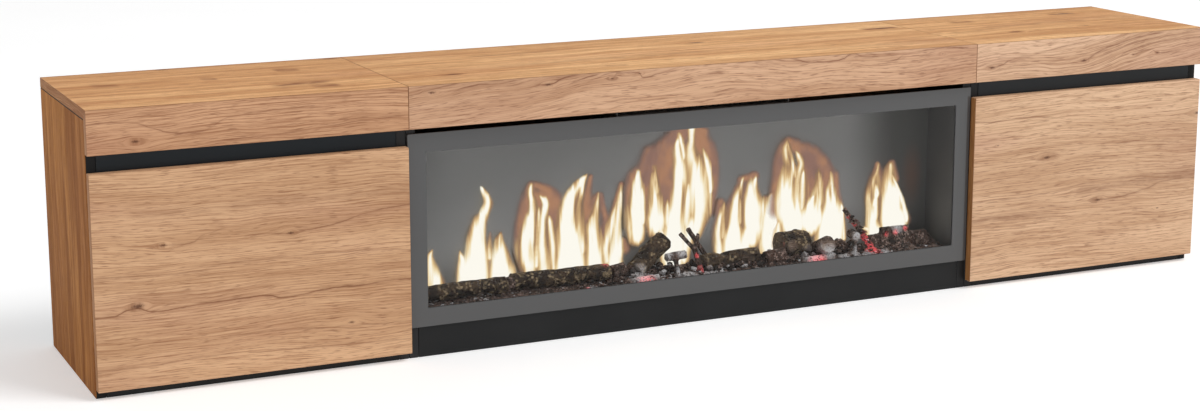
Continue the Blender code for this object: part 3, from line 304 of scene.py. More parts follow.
# In millimetres. Heights across the grain are measured from the floor on the fronts and run on over the
# tops. Knots: place along and across the grain, radius, how far the figure bends around it.
# Streaks: strength, half width and the places that the line runs through.
boards = {
    "left_door": {
        "seed": 1.0, "tint": (1.01, 1.01, 1.01),
        "knots": [(-941, 235.1, 2.6, 9), (-739, 234.1, 2.4, 8), (-983, 143.4, 4.2, 12),
                  (-643, 78, 2.2, 10)],
        "streaks": [
            (1.0, 1.3, [(-1085, 131.2), (-1023, 131.4), (-990, 140.5), (-956, 132.5), (-879, 136.7),
             (-814, 137.8), (-786, 138.8), (-751, 131.5), (-675, 137.8), (-623, 137.2), (-587, 139.5),
             (-505, 137.2)]),
            (0.68, 1.5, [(-817, 236.1), (-779, 237.4), (-739, 233.7), (-713, 235.9), (-656, 244.1),
             (-602, 256.2), (-505, 264)]),
            (0.62, 1.4, [(-970, 234.1), (-941, 234.5), (-899, 234.3), (-879, 245), (-831, 254.4)]),
            (0.44, 1.6, [(-1085, 196.2), (-983, 191.4), (-906, 188.2), (-831, 197), (-505, 180)]),
            (0.5, 1.4, [(-1085, 54), (-983, 47.4), (-865, 51.2), (-762, 46.9), (-505, 39)]),
            (0.44, 1.6, [(-879, 66.3), (-859, 78.9), (-779, 79.6), (-691, 74.4), (-505, 68)]),
            (0.3, 9, [(-1000, 287.4), (-865, 284.6), (-744, 288.5), (-645, 286.2), (-505, 283.5)]),
        ],
    },
    "right_door": {
        # Tinted paler and cooler: partly painted light, as more light falls on the right-hand boards.
        "seed": 4.3, "tint": (1.08, 1.16, 1.27), "fibre": 0.68,
        "knots": [(702, 231.6, 3.2, 14), (822, 140.7, 2.8, 13), (963, 111.8, 1.6, 6), (592, 262.7, 1.2, 5),
                  (1047, 288.8, 3.2, 16)],
        "streaks": [
            (0.84, 1.3, [(505, 319.4), (587, 307.7), (644, 310.3), (684, 308.6), (725, 303.7)]),
            (0.68, 1.6, [(798, 148.7), (822, 140.7), (868, 142.2), (939, 153), (993, 164.1), (1085, 161)]),
            (0.48, 1.6, [(505, 163.9), (610, 160.5), (746, 169.1), (833, 177), (1085, 176)]),
            (0.54, 6.5, [(505, 129.1), (600, 126.8), (651, 125.8), (746, 122.3)]),
            (0.54, 9, [(760, 160), (850, 166), (950, 168), (1085, 172)]),
            (0.46, 1.4, [(843, 241.3), (882, 245.9), (939, 242.7), (1008, 235.3)]),
            (0.56, 3.6, [(672, 227), (702, 231.6), (732, 234)]),
        ],
    },
    "left_fascia": {
        "seed": 7.1, "tint": (0.93, 0.86, 0.85), "wave": 1.7, "rings": 0.55,
        "knots": [(-977, 399, 2.6, 14)],
        "streaks": [
            (0.62, 1.4, [(-1085, 418.4), (-1010, 430.8), (-951, 418.4), (-892, 405.8), (-832, 424.8),
             (-688, 433.9)]),
            (0.46, 1.4, [(-852, 390.8), (-771, 392.1), (-688, 397.6), (-612, 403.8), (-505, 408)]),
        ],
    },
    "centre_fascia": {
        "seed": 11.7, "tint": (1.02, 1.03, 1.12), "wave": 1.3, "rings": 0.42, "fibre": 0.6, "figure": 0.36,
        "blush": 0.35,
        "lean": [(-540, 0), (-350, 20), (-180, 45), (50, 52), (200, 40), (350, 36), (540, 45)],
        "knots": [(-501, 439.3, 2.6, 9), (-298.6, 437.9, 2.6, 9), (-182.9, 439.8, 1.4, 8),
                  (-132.2, 444.9, 1.2, 8), (466.8, 439.2, 0.8, 16)],
        "streaks": [
            (0.72, 1.5, [(-526, 438.2), (-497.6, 444.7), (-447, 452.2)]),
            (0.78, 1.5, [(-470.7, 433.3), (-423.2, 445.8), (-375.2, 446.5), (-338.8, 450.4)]),
            (0.98, 1.5, [(-326.6, 441.1), (-298.6, 437.9), (-273.9, 445.9), (-234.9, 451)]),
            (0.85, 1.4, [(-270.4, 432.6), (-234.9, 443.8), (-199.1, 450.1)]),
            (0.78, 1.4, [(-234.9, 432.4), (-213.5, 441.6), (-188.3, 448.7), (-155.8, 451.4)]),
            (0.85, 1.4, [(-199.1, 442.9), (-182.9, 439.5), (-173.9, 447.7), (-134, 446.6), (-124.9, 437.8),
             (-101.1, 441.1), (-60.5, 449.9)]),
            (0.59, 1.4, [(41.5, 439.6), (56.9, 449.8), (91.8, 451.6), (131, 440.4)]),
            (0.85, 1.6, [(146.7, 455.6), (166.4, 448.4), (206.2, 441.9), (238.2, 441.2), (262.4, 443.8),
             (278.6, 451.1), (307.1, 443.7), (344, 446.2)]),
            (0.72, 1.4, [(319.3, 440), (360.4, 433.8), (385.3, 442.8), (426.9, 447.2), (468.9, 449.8),
             (537, 440.1)]),
        ],
    },
    "right_fascia": {
        # Tinted paler and cooler: partly painted light, as more light falls on the right-hand boards.
        "seed": 15.2, "tint": (1.12, 1.2, 1.36), "wave": 1.3, "rings": 0.6, "fibre": 0.6, "figure": 0.36,
        "lean": [(540, 0), (620, 6), (720, 8), (800, 16), (900, 34), (1050, 46)],
        "knots": [(573.5, 407.1, 2.6, 9), (776.5, 406.9, 2.6, 9), (888.4, 410.5, 1.3, 8),
                  (944.3, 410.7, 1.5, 9)],
        "streaks": [
            (0.78, 1.5, [(551.4, 403.6), (560, 410), (573.9, 407.1), (593.1, 410.7), (610.6, 417.2),
             (670.6, 425.6)]),
            (0.59, 1.5, [(607.1, 404.8), (617.6, 414.4), (652.9, 422.3), (706.2, 432.1), (763.8, 439.7),
             (807.4, 443.5)]),
            (0.85, 1.5, [(749.3, 407.9), (776.5, 407.3), (792.8, 413.1), (807.4, 420.2), (847.7, 432),
             (910.7, 444.6), (966.9, 448.7)]),
            (0.65, 1.4, [(800.1, 404.6), (818.4, 412.9), (847.7, 421.5), (888.4, 431.8), (948.1, 439.3),
             (1085, 447.5)]),
            (0.65, 1.4, [(836.7, 404.2), (855.1, 409), (871.7, 416.1), (895.8, 422.9), (951.8, 431.5),
             (1085, 434.5)]),
            (0.65, 1.4, [(866.1, 409.8), (888.4, 410.5), (903.2, 414.9), (929.3, 417.8), (946.2, 410),
             (997.1, 416.5)]),
        ],
    },
    # The top boards' tints are paler: partly painted light on their upward faces.
    "left_top_board": {
        **topBoard, "seed": 7.1, "tint": (1.46, 1.37, 1.1),
        "knots": [(-852, 120, 7, 10), (-563, 124, 6.5, 10)],
        "streaks": [
            (0.95, 17, [(-743, 359), (-707, 351), (-667, 348), (-620, 337)]),
            (0.85, 13, [(-683, 388), (-655, 389), (-627, 387)]),
            (0.75, 14, [(-823, 243), (-807, 247), (-791, 252)]),
            (0.7, 14, [(-1002, 237), (-975, 242), (-947, 248)]),
            (0.8, 16, [(-691, 204), (-666, 210), (-641, 216)]),
            (0.6, 11, [(-1100, 116), (-800, 116), (-500, 116)]),
        ],
    },
    "centre_top_board": {
        **topBoard, "seed": 11.7, "tint": (1.55, 1.52, 1.26),
        "knots": [(92.8, 221.9, 8, 10), (-433.3, 369.5, 5.5, 10), (496.1, 204.6, 8, 10)],
        "streaks": [
            (0.66, 7, [(-460, 370.8), (-434, 371.3), (-410, 368)]),
            (0.6, 7, [(-175, 395), (-150, 399), (-125, 400.3)]),
            (0.42, 10.5, [(-360, 325), (-244.2, 322.9), (-156.6, 316.5), (-70.4, 325), (74.5, 309.4)]),
            (0.36, 10.5, [(-350, 208.2), (-255, 206.3), (-159, 204.2)]),
            (0.95, 14, [(440, 205.5), (494.8, 206.8), (540, 198.4)]),
            (0.54, 7, [(370, 409.7), (395, 413.5), (420, 416.8)]),
            (0.42, 10.5, [(197.5, 382.3), (302.2, 384.6), (404.6, 387.5), (506.4, 381.4), (580, 398.2)]),
            (0.6, 11, [(-600, 116), (0, 116), (600, 116)]),
        ],
    },
    "right_top_board": {
        **topBoard, "seed": 15.2, "tint": (1.52, 1.47, 1.2),
        "knots": [(933.4, 181.2, 8, 10), (693.7, 350.8, 6, 10), (864.5, 338.9, 3.6, 8)],
        "streaks": [
            (0.95, 15, [(890, 184.8), (927.5, 178.6), (960, 180)]),
            (0.8, 15, [(649, 194.7), (680, 196.5), (708, 198.5)]),
            (0.54, 8.8, [(540, 298), (552.5, 303), (565, 307.5)]),
            (0.54, 7, [(675, 353), (693.7, 351.6), (712, 351)]),
            (0.38, 12.2, [(920, 260), (984.3, 268.8), (1048, 276)]),
            (0.38, 12.2, [(560, 312), (625, 308), (705, 293)]),
            (0.38, 12.2, [(665.7, 272.5), (757, 278.8), (865.8, 273.5), (927.6, 272.4)]),
            (0.6, 11, [(500, 116), (800, 116), (1100, 116)]),
        ],
    },
    "left_outer_side": {**sideBoard, "seed": 21.4},
    "right_outer_side": {**sideBoard, "seed": 27.9},
}
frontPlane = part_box("left_door")[0].y


def oakColour(oak, board, atEnd):
    look = oakLook
    x, y, z = oak.axes()
    if board["upright"]:
        along, across = z, oak.plus(x, y)
    else:
        # Runs on over the mitred corner of fascia and top without a break, and along each end strip
        run, rise = (y, z) if board["flat"] else (z, y)
        along = oak.maths("MULTIPLY_ADD", atEnd, oak.minus(run, x), x)
        across = oak.minus(z, oak.minus(y, frontPlane))
        across = oak.maths("MULTIPLY_ADD", atEnd, oak.minus(rise, across), across)

    def waves(pattern, value):
        alongScale, acrossScale, detail, roughness, shift = oakPatterns[pattern]
        spot = oak.point(oak.times(along, alongScale), oak.times(value, acrossScale), board["seed"] + shift)
        return oak.noise(spot, detail=detail, roughness=roughness)

    bent = across
    knots = 0.0
    for place, height, size, reach in inMetres(board["knots"]):
        du = oak.times(oak.minus(along, place), knotLook["squash"])
        dv = oak.minus(across, height)
        square = oak.maths("MULTIPLY_ADD", du, du, oak.times(dv, dv))
        share = oak.maths("DIVIDE", size * reach, oak.most(square, size * size))
        bent = oak.minus(bent, oak.times(dv, oak.least(share, 1.0)))
        rough = oak.noise(oak.place, knotLook["ragged"], detail=2.0)
        ragged = oak.maths("MULTIPLY_ADD", rough, size * knotLook["raggedShare"], oak.maths("SQRT", square))
        low, high = knotLook["edgeShares"]
        knots = oak.most(knots, oak.fade(ragged, size * low, size * high, 1.0, 0.0))
    if board["lean"]:
        bent = oak.minus(bent, oak.course(along, inMetres(board["lean"])))

    # The lines wander at three scales before they are drawn
    flow = bent
    for pattern, reach in wander.items():
        swing = oak.minus(waves(pattern, bent), 0.5)
        reach *= 1.0 if pattern == "bend" else board["wave"]
        flow = oak.maths("MULTIPLY_ADD", swing, reach, flow)
    figure, fibre = waves("figure", flow), waves("fibre", flow)
    drift = oak.times(waves("drift", flow), look["ringDrift"])
    rings = oak.maths("SINE", oak.maths("MULTIPLY_ADD", flow, 2 * math.pi / look["ringPitch"], drift))
    ringed = oak.fade(waves("rings", flow), 0.44, 0.62)
    rings = oak.times(ringed, oak.fade(rings, 0.1, 1.0, 0.0, board["rings"]))
    pores = oak.fade(waves("fleck", flow), 0.54, 0.70, 0.0, 0.60)

    colour = oak.mix(oak.fade(waves("tone", flow), 0.38, 0.62), look["light"], look["middle"])
    colour = oak.mix(oak.fade(waves("blush", flow), 0.50, 0.72, 0.0, board["blush"]), colour, look["pink"])
    if board["bands"]:
        bands = oak.fade(waves("bands", flow), 0.40, 0.64, 0.0, board["bands"])
        colour = oak.mix(bands, colour, board["dark"])
    colour = oak.mix(oak.fade(figure, 0.50, 0.78, 0.0, board["figure"]), colour, board["dark"])
    colour = oak.mix(oak.fade(figure, 0.26, 0.48, 0.40, 0.0), colour, look["light"])
    colour = oak.mix(rings, colour, look["dark"])
    colour = oak.mix(oak.fade(fibre, 0.46, 0.68, 0.0, board["fibre"]), colour, look["dark"])
    colour = oak.mix(oak.fade(fibre, 0.30, 0.46, board["fibre"], 0.0), colour, look["light"])
    colour = oak.mix(pores, colour, look["line"])

    for strength, half, places in board["streaks"]:
        half *= mm
        places = inMetres(places)
        start, end = places[0][0], places[-1][0]
        fray = min(streakLook["fray"] * half, streakLook["mostFray"])
        frayed = oak.times(oak.minus(waves("fray", across), 0.5), fray)
        away = oak.maths("ABSOLUTE", oak.plus(oak.minus(across, oak.course(along, places)), frayed))
        core, halo = streakLook["weights"]
        band = oak.plus(oak.fade(away, 0.0, half, core, 0.0),
                        oak.fade(away, 0.0, half * streakLook["halo"], halo, 0.0))
        ends = min(streakLook["fadeOut"], (end - start) / 4)
        shown = oak.times(oak.fade(along, start, start + ends), oak.fade(along, end - ends, end, 1.0, 0.0))
        broken = oak.fade(waves("gaps", across), 0.30, 0.62, 0.35, 1.0)
        band = oak.times(oak.times(band, shown), oak.times(broken, strength))
        colour = oak.mix(band, colour, look["line"])

    if board["knots"]:
        colour = oak.mix(oak.times(knots, knotLook["strength"]), colour, look["knot"])
    height = oak.minus(oak.minus(oak.times(fibre, 0.8), pores), oak.times(figure, 0.4))
    return colour, height, fibre


def oakFinish(name):
    look = oakLook
    board = {**anyBoard, **boards[name]}
    oak = Finish("oak_" + name)
    low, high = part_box(name)
    x, y, z = oak.axes()
    toEnd = oak.least(oak.minus(x, low.x), oak.minus(high.x, x))
    atEnd = oak.maths("LESS_THAN", toEnd, look["endStrip"])
    colour, height, fibre = oakColour(oak, board, atEnd)
    # The tint brings in each board's tone together with its painted light and shade; the end strips take the
    # end tint instead.
    tint = board["tint"] if board["upright"] else oak.mix(atEnd, board["tint"], look["endTint"])
    colour = oak.mix(1.0, colour, tint, "MULTIPLY")
    # A darker rim along each board's edges: partly the edge band's glue line, partly painted shade of the
    # narrow gaps between boards.
    rim = oak.edges((low, high), look["edgeWidth"])
    colour = oak.mix(oak.times(rim, 0.5), colour, look["line"])
    rough = oak.fade(fibre, 0.3, 0.75, *look["roughness"])
    normal = oak.relief(height, look["poreDepth"], strength=0.6)
    if board["upright"]:
        # Only the outer face is oak: the inner face and the front edge are black, and a thin black strip
        # along the top of the outer face is painted shade of the gap under the top board
        outer = low.x if high.x < 0 else high.x
        away = oak.maths("ABSOLUTE", oak.minus(x, outer))
        gapShade = oak.maths("GREATER_THAN", z, high.z - look["topGapShade"])
        black = oak.most(oak.maths("GREATER_THAN", away, look["outerSkin"]), gapShade)
        colour = oak.mix(black, colour, look["innerBlack"])
        rough = oak.mix(black, rough, look["innerRoughness"])
    return oak.out(colour, rough, normal, Specular_IOR_Level=board["gloss"])


for name in boards:
    wear(name, oakFinish(name))
print("oak boards done")


# Black boards: satin melamine with a fine orange-peel texture, and paler edges: the edge band's tone with a
# painted highlight along its rounded edges

blackLook = {
    "colour": (0.0115, 0.012, 0.0125),
    "cloud": (0.017, 0.0175, 0.018),
    # The edge colour is partly the edge band's tone, partly painted highlight along the rounded edges
    "edge": (0.040, 0.041, 0.042),
    "edgeWidth": 1.0 * mm,
    "roughness": (0.36, 0.50),
    "gloss": 0.20,
    "peel": 1400.0,
    "peelDepth": 0.06 * mm,
}
# Boards that look paler or darker in their light, as a tint of the black
blackTints = {
    "left_front_rail": (0.80, 1.05, 1.28), "right_front_rail": (1.35, 1.50, 1.62),
    "kick_board": (0.86, 0.86, 0.86),
    "left_inner_side": (1.5, 1.4, 1.4), "centre_left_side": (1.5, 1.4, 1.4),
}


def blackBoard(name):
    look = blackLook
    black = Finish("black_" + name)
    peel = black.noise(black.place, look["peel"], detail=2.0)
    cloud = black.noise(black.place, scale=6.0)
    colour = black.mix(black.fade(cloud, 0.3, 0.7), look["colour"], look["cloud"])
    colour = black.mix(1.0, colour, blackTints.get(name, (1.0, 1.0, 1.0)), "MULTIPLY")
    # Paler along the edges: painted highlight on the rounded edges, over the edge band's tone
    rim = black.edges(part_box(name), look["edgeWidth"])
    colour = black.mix(black.times(rim, 0.7), colour, look["edge"])
    rough = black.fade(cloud, 0.25, 0.75, *look["roughness"])
    normal = black.relief(peel, look["peelDepth"], strength=0.5)
    return black.out(colour, rough, normal, Specular_IOR_Level=look["gloss"])


blackBoards = [
    "left_inner_side", "centre_left_side", "centre_right_side", "right_inner_side",
    "left_bottom_board", "centre_bottom_board", "right_bottom_board",
    "left_front_rail", "right_front_rail", "kick_board",
]
for name in blackBoards:
    wear(name, blackBoard(name))


# Back panels: lacquered hardboard with a pressed mesh and a row of nails along each edge

backLook = {
    "colour": (0.026, 0.025, 0.024),
    "cloud": (0.040, 0.038, 0.035),
    "nail": (0.50, 0.49, 0.47),
    "nailRoughness": (0.3, 0.3, 0.3),
    "roughness": (0.5, 0.68),
    "nailPitch": 116 * mm,
    "nailInset": 8 * mm,
    "nailHead": 2.6 * mm,
    "mesh": 2600.0,
    "meshHeight": 0.12,
    "depth": 0.3 * mm,
}


def backPanel(name):
    look = backLook
    back = Finish("back_" + name)
    low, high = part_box(name)
    x, y, z = back.axes()
    weaveX = back.maths("SINE", back.times(x, look["mesh"]))
    weaveZ = back.maths("SINE", back.times(z, look["mesh"]))
    weave = back.times(weaveX, weaveZ)
    cloud = back.noise(back.place, scale=9.0, detail=4.0)
    colour = back.mix(back.fade(cloud, 0.3, 0.7, 0.0, 0.6), look["colour"], look["cloud"])
    nails = 0.0
    for run, rise, runEnds, riseEnds in ((x, z, (low.x, high.x), (low.z, high.z)),
                                         (z, x, (low.z, high.z), (low.x, high.x))):
        length = runEnds[1] - runEnds[0]
        pitch = length / max(round(length / look["nailPitch"]), 1)
        along = back.maths("PINGPONG", back.minus(run, runEnds[0] + pitch / 2), pitch / 2)
        for end, direction in ((riseEnds[0], 1), (riseEnds[1], -1)):
            away = back.minus(rise, end + direction * look["nailInset"])
            reach = back.maths("SQRT", back.plus(back.times(along, along), back.times(away, away)))
            nail = back.fade(reach, look["nailHead"] * 0.8, look["nailHead"], 1.0, 0.0)
            nails = back.most(nails, nail)
    colour = back.mix(nails, colour, look["nail"])
    rough = back.mix(nails, back.fade(cloud, 0.2, 0.8, *look["roughness"]), look["nailRoughness"])
    height = back.plus(back.times(weave, look["meshHeight"]), nails)
    back.feed(back.shader.inputs["Metallic"], nails)
    return back.out(colour, rough, back.relief(height, look["depth"], strength=0.8))


for side in ("left", "centre", "right"):
    wear(side + "_back_panel", backPanel(side + "_back_panel"))
print("black boards and backs done")


# Metals and plastics of the fittings and of the fire's machinery

zincLook = {
    "bright": (0.66, 0.67, 0.69), "dull": (0.54, 0.55, 0.53), "scratch": (0.36, 0.37, 0.38),
    "roughness": (0.22, 0.38), "depth": 0.04 * mm,
}
spangleLook = {
    "dark": (0.40, 0.42, 0.44), "light": (0.66, 0.68, 0.70), "roughness": (0.30, 0.50), "depth": 0.03 * mm,
}
casingLook = {
    "dark": (0.27, 0.28, 0.29), "light": (0.46, 0.47, 0.48), "roughness": (0.30, 0.48), "depth": 0.04 * mm,
}
powderLook = {
    "dark": (0.072, 0.072, 0.070), "light": (0.130, 0.127, 0.122), "roughness": (0.48, 0.68),
    "depth": 0.03 * mm,
}
foilLook = {
    "dark": (0.74, 0.72, 0.68), "light": (0.90, 0.89, 0.87), "roughness": (0.10, 0.24), "depth": 0.6 * mm,
}
palePlasticLook = {"base": (0.66, 0.66, 0.63), "shade": (0.58, 0.575, 0.54), "roughness": (0.34, 0.5)}
blackPlasticLook = {"base": (0.020, 0.020, 0.021), "shade": (0.034, 0.034, 0.035), "roughness": (0.32, 0.52)}
mouldedDepth = 0.05 * mm


def zincSteel(look):
    zinc = Finish("bright_zinc")
    brush = zinc.noise(zinc.scaled((40, 900, 900)))
    stain = zinc.noise(zinc.place, scale=70.0, detail=4.0)
    colour = zinc.mix(zinc.fade(stain, 0.35, 0.7), look["bright"], look["dull"])
    colour = zinc.mix(zinc.fade(brush, 0.5, 0.8, 0.0, 0.25), colour, look["scratch"])
    rough = zinc.fade(stain, 0.3, 0.7, *look["roughness"])
    return zinc.out(colour, rough, zinc.relief(brush, look["depth"], strength=0.5), Metallic=1.0)


def galvanisedSheet(look):
    zinc = Finish("spangled_sheet")
    spangle = zinc.cells(zinc.place, scale=110.0, output="Color")
    grey = zinc.add("RGBToBW", 0, {0: spangle})
    colour = zinc.mix(grey, look["dark"], look["light"])
    rough = zinc.fade(grey, 0.2, 0.9, *look["roughness"])
    scratch = zinc.noise(zinc.scaled((25, 700, 700)), detail=2.0)
    return zinc.out(colour, rough, zinc.relief(scratch, look["depth"], strength=0.5), Metallic=1.0)


def motorCasing(look):
    case = Finish("grey_motor_case")
    blotch = case.noise(case.place, scale=55.0, detail=4.0)
    turned = case.noise(case.scaled((1600, 90, 90)), detail=2.0)
    colour = case.mix(blotch, look["dark"], look["light"])
    rough = case.fade(turned, 0.3, 0.7, *look["roughness"])
    return case.out(colour, rough, case.relief(turned, look["depth"], strength=0.6), Metallic=1.0)


def paintedSheet(look):
    paint = Finish("black_powder_coat")
    grit = paint.noise(paint.place, scale=2200.0, detail=2.0)
    soot = paint.noise(paint.place, scale=14.0, detail=4.0)
    colour = paint.mix(soot, look["dark"], look["light"])
    rough = paint.fade(grit, 0.3, 0.7, *look["roughness"])
    return paint.out(colour, rough, paint.relief(grit, look["depth"], strength=0.5))


def mouldedPlastic(name, look):
    plastic = Finish(name)
    spark = plastic.cells(plastic.place, scale=1900.0)
    cloud = plastic.noise(plastic.place, scale=30.0)
    colour = plastic.mix(plastic.fade(cloud, 0.3, 0.7), look["base"], look["shade"])
    rough = plastic.fade(spark, 0.0, 0.7, *look["roughness"])
    return plastic.out(colour, rough, plastic.relief(spark, mouldedDepth, strength=0.5))


def crinkledFoil(look):
    foil = Finish("crinkled_foil")
    crease = foil.cells(foil.place, scale=160.0, feature="DISTANCE_TO_EDGE")
    tone = foil.noise(foil.place, scale=90.0)
    colour = foil.mix(tone, look["dark"], look["light"])
    rough = foil.fade(tone, 0.3, 0.7, *look["roughness"])
    return foil.out(colour, rough, foil.relief(crease, look["depth"], strength=0.6), Metallic=1.0)


zinc = zincSteel(zincLook)
galvanised = galvanisedSheet(spangleLook)
casing = motorCasing(casingLook)
powder = paintedSheet(powderLook)
palePlastic = mouldedPlastic("pale_moulding", palePlasticLook)
blackPlastic = mouldedPlastic("black_moulding", blackPlasticLook)
foil = crinkledFoil(foilLook)

fittings = {
    "zinc_steel": (zinc, ["hinge_arm", "hinge_cup", "stay_arm", "stay_bracket", "stay_stud", "strike_plate"]),
    "pale_plastic": (palePlastic, ["catch"]),
    "black_plastic": (blackPlastic, ["blower_wheel", "inlet_socket", "rocker_switch"]),
    "dark_sheet": (powder, ["firebox", "blower_case"]),
    "foil": (foil, ["flame_rotor"]),
    "galvanised": (galvanised, ["rotor_bearing"]),
    "motor_casing": (casing, ["rotor_motor", "light_bar", "blower_motor", "heating_element"]),
}
for slot, (material, endings) in fittings.items():
    for name in nodes:
        if any(name.endswith(ending) for ending in endings):
            wear(name, material)
print("fittings done")


# Screws: pan heads with a cross recess, in the holes of the hinges, stays and catches

screwLook = {
    "head": 3.5 * mm, "rise": 1.6 * mm, "round": 0.6 * mm, "shank": 2.0 * mm, "reach": 1.9 * mm,
    "overlap": 0.2 * mm, "cross": 4.0 * mm, "slot": 0.8 * mm, "sunk": 0.9 * mm,
    "turns": (0.3, 0.7),  # how far the first screw is turned, and each next one more, in radians
}
screwPlaces = {
    "hingeSide": 9 * mm, "hingeBack": 20 * mm, "hingeSeat": 2 * mm, "studRise": 10 * mm, "studSeat": 2 * mm,
    "catchSide": 18 * mm, "bracketSide": 9 * mm, "bracketRise": 11 * mm, "bracketSeat": 2 * mm,
}


def oneScrew():
    # Stands on the origin with its head up
    look = screwLook
    deselectAll()
    bpy.ops.mesh.primitive_cylinder_add(vertices=20, radius=look["head"], depth=look["rise"],
                                        location=(0, 0, look["rise"] / 2))
    head = bpy.context.object
    head.modifiers.new("dome", "BEVEL").width = look["round"]
    head.modifiers["dome"].segments = 3
    applyModifiers(head)
    for turn in (0, 90):
        deselectAll()
        bpy.ops.mesh.primitive_cube_add(size=1, location=(0, 0, look["rise"]))
        cutter = bpy.context.object
        cutter.scale = (look["cross"], look["slot"], 2 * look["sunk"])
        cutter.rotation_euler = (0, 0, math.radians(turn))
        applyPlace(cutter)
        recess = head.modifiers.new("recess", "BOOLEAN")
        recess.object = cutter
        recess.operation = "DIFFERENCE"
        applyModifiers(head)
        bpy.data.objects.remove(cutter)
    deselectAll()
    length = look["reach"] + look["overlap"]
    bpy.ops.mesh.primitive_cylinder_add(vertices=12, radius=look["shank"], depth=length,
                                        location=(0, 0, length / 2 - look["reach"]))
    head.select_set(True)
    bpy.context.view_layer.objects.active = head
    bpy.ops.object.join()
    return head


def screwsOf(side):
    # Seat and direction of each screw, by body
    at = screwPlaces
    into = Vector((1 if side == "left" else -1, 0, 0))
    fixed, moving = [], []
    for place in ("outer", "inner"):
        low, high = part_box("%s_%s_hinge_arm" % (side, place))
        for shift in (-1, 1):
            x = (low.x + high.x) / 2 + shift * at["hingeSide"]
            spot = Vector((x, high.y - at["hingeBack"], low.z + at["hingeSeat"]))
            fixed.append((spot, Vector((0, 0, 1))))
    low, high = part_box(side + "_stay_stud")
    wallX = (low.x if side == "left" else high.x) + into.x * at["studSeat"]
    for shift in (-1, 1):
        spot = Vector((wallX, (low.y + high.y) / 2, (low.z + high.z) / 2 + shift * at["studRise"]))
        fixed.append((spot, into))
    low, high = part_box(side + "_catch")
    for shift in (-1, 1):
        spot = Vector(((low.x + high.x) / 2 + shift * at["catchSide"], (low.y + high.y) / 2, low.z))
        fixed.append((spot, Vector((0, 0, -1))))
    low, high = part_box(side + "_stay_bracket")
    innerX = (high.x if side == "left" else low.x) - into.x * at["bracketSide"]
    for shift in (-1, 1):
        spot = Vector((innerX, low.y + at["bracketSeat"], (low.z + high.z) / 2 + shift * at["bracketRise"]))
        moving.append((spot, Vector((0, 1, 0))))
    return {"carcass": fixed, side + "_flap": moving}


pattern = oneScrew()
for side in ("left", "right"):
    for body, places in screwsOf(side).items():
        copies = []
        for index, (spot, direction) in enumerate(places):
            screw = pattern.copy()
            screw.data = pattern.data.copy()
            bpy.context.scene.collection.objects.link(screw)
            first, step = screwLook["turns"]
            turn = Matrix.Rotation(step * index + first, 4, "Z")
            lie = Vector((0, 0, 1)).rotation_difference(direction).to_matrix().to_4x4()
            screw.data.transform(Matrix.Translation(spot) @ lie @ turn)
            copies.append(screw)
        deselectAll()
        for screw in copies:
            screw.select_set(True)
        bpy.context.view_layer.objects.active = copies[0]
        bpy.ops.object.join()
        name = side + ("_bay_screws" if body == "carcass" else "_flap_screws")
        settle(copies[0], name, zinc, body=body, smooth=40)
bpy.data.objects.remove(pattern)
print("screws done")


# Fire front: smoked glass with a printed border, and the smoked screen behind the logs

glassLook = {
    "border": 31 * mm,
    "print": (0.074, 0.074, 0.0745),
    "dust": (0.075, 0.075, 0.076),
    "roughness": (0.035, 0.09),
    "tint": (0.92, 0.92, 0.92),
    "shine": 1.24,
}
screenLook = {
    "grey": (0.352, 0.352, 0.345),
    "veil": (0.306, 0.306, 0.300),
    "dark": (0.112, 0.110, 0.104),
    "fade": (320 * mm, 440 * mm),
    "roughness": (0.45, 0.6),
    "gloss": 0.05,
    # A reddish patch on the screen beside the right-hand flames: painted glow of the fire's light
    "blush": (0.190, 0.115, 0.088),
    "paintedGlowPlace": (475 * mm, 200 * mm),
    "paintedGlowReach": 75 * mm,
    "paintedGlowSquash": 2.6,
}


def smokedGlass():
    look = glassLook
    glass = Finish("front_pane")
    low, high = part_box("front_glass")
    x, y, z = glass.axes()
    inset = look["border"]
    fromSide = glass.minus(high.x - inset, glass.maths("ABSOLUTE", x))
    fromFloor = glass.minus(z, low.z + inset)
    fromTop = glass.minus(high.z - inset, z)
    inside = glass.least(fromSide, glass.least(fromFloor, fromTop))
    window = glass.maths("GREATER_THAN", inside, 0.0)
    smear = glass.noise(glass.scaled((3, 1, 9)))
    dust = glass.noise(glass.place, scale=800.0, detail=2.0)
    colour = glass.mix(glass.fade(dust, 0.4, 0.8, 0.0, 0.4), look["print"], look["dust"])
    rough = glass.fade(smear, 0.3, 0.7, *look["roughness"])
    printed = glass.out(colour, rough).node_tree.nodes["Principled BSDF"].outputs[0]
    clear = glass.add("BsdfTransparent", 0, {"Color": rgba(look["tint"])})
    shine = glass.add("BsdfGlossy", 0, {"Color": (1, 1, 1, 1), "Roughness": rough})
    outward = glass.minus(1.0, glass.add("NewGeometry", "Backfacing"))
    facing = glass.times(glass.add("Fresnel", 0, {"IOR": look["shine"]}), outward)
    pane = glass.add("MixShader", 0, {0: facing, 1: clear, 2: shine})
    whole = glass.add("MixShader", 0, {0: window, 1: printed, 2: pane})
    glass.feed(glass.tree.nodes["Material Output"].inputs["Surface"], whole)
    return glass.material


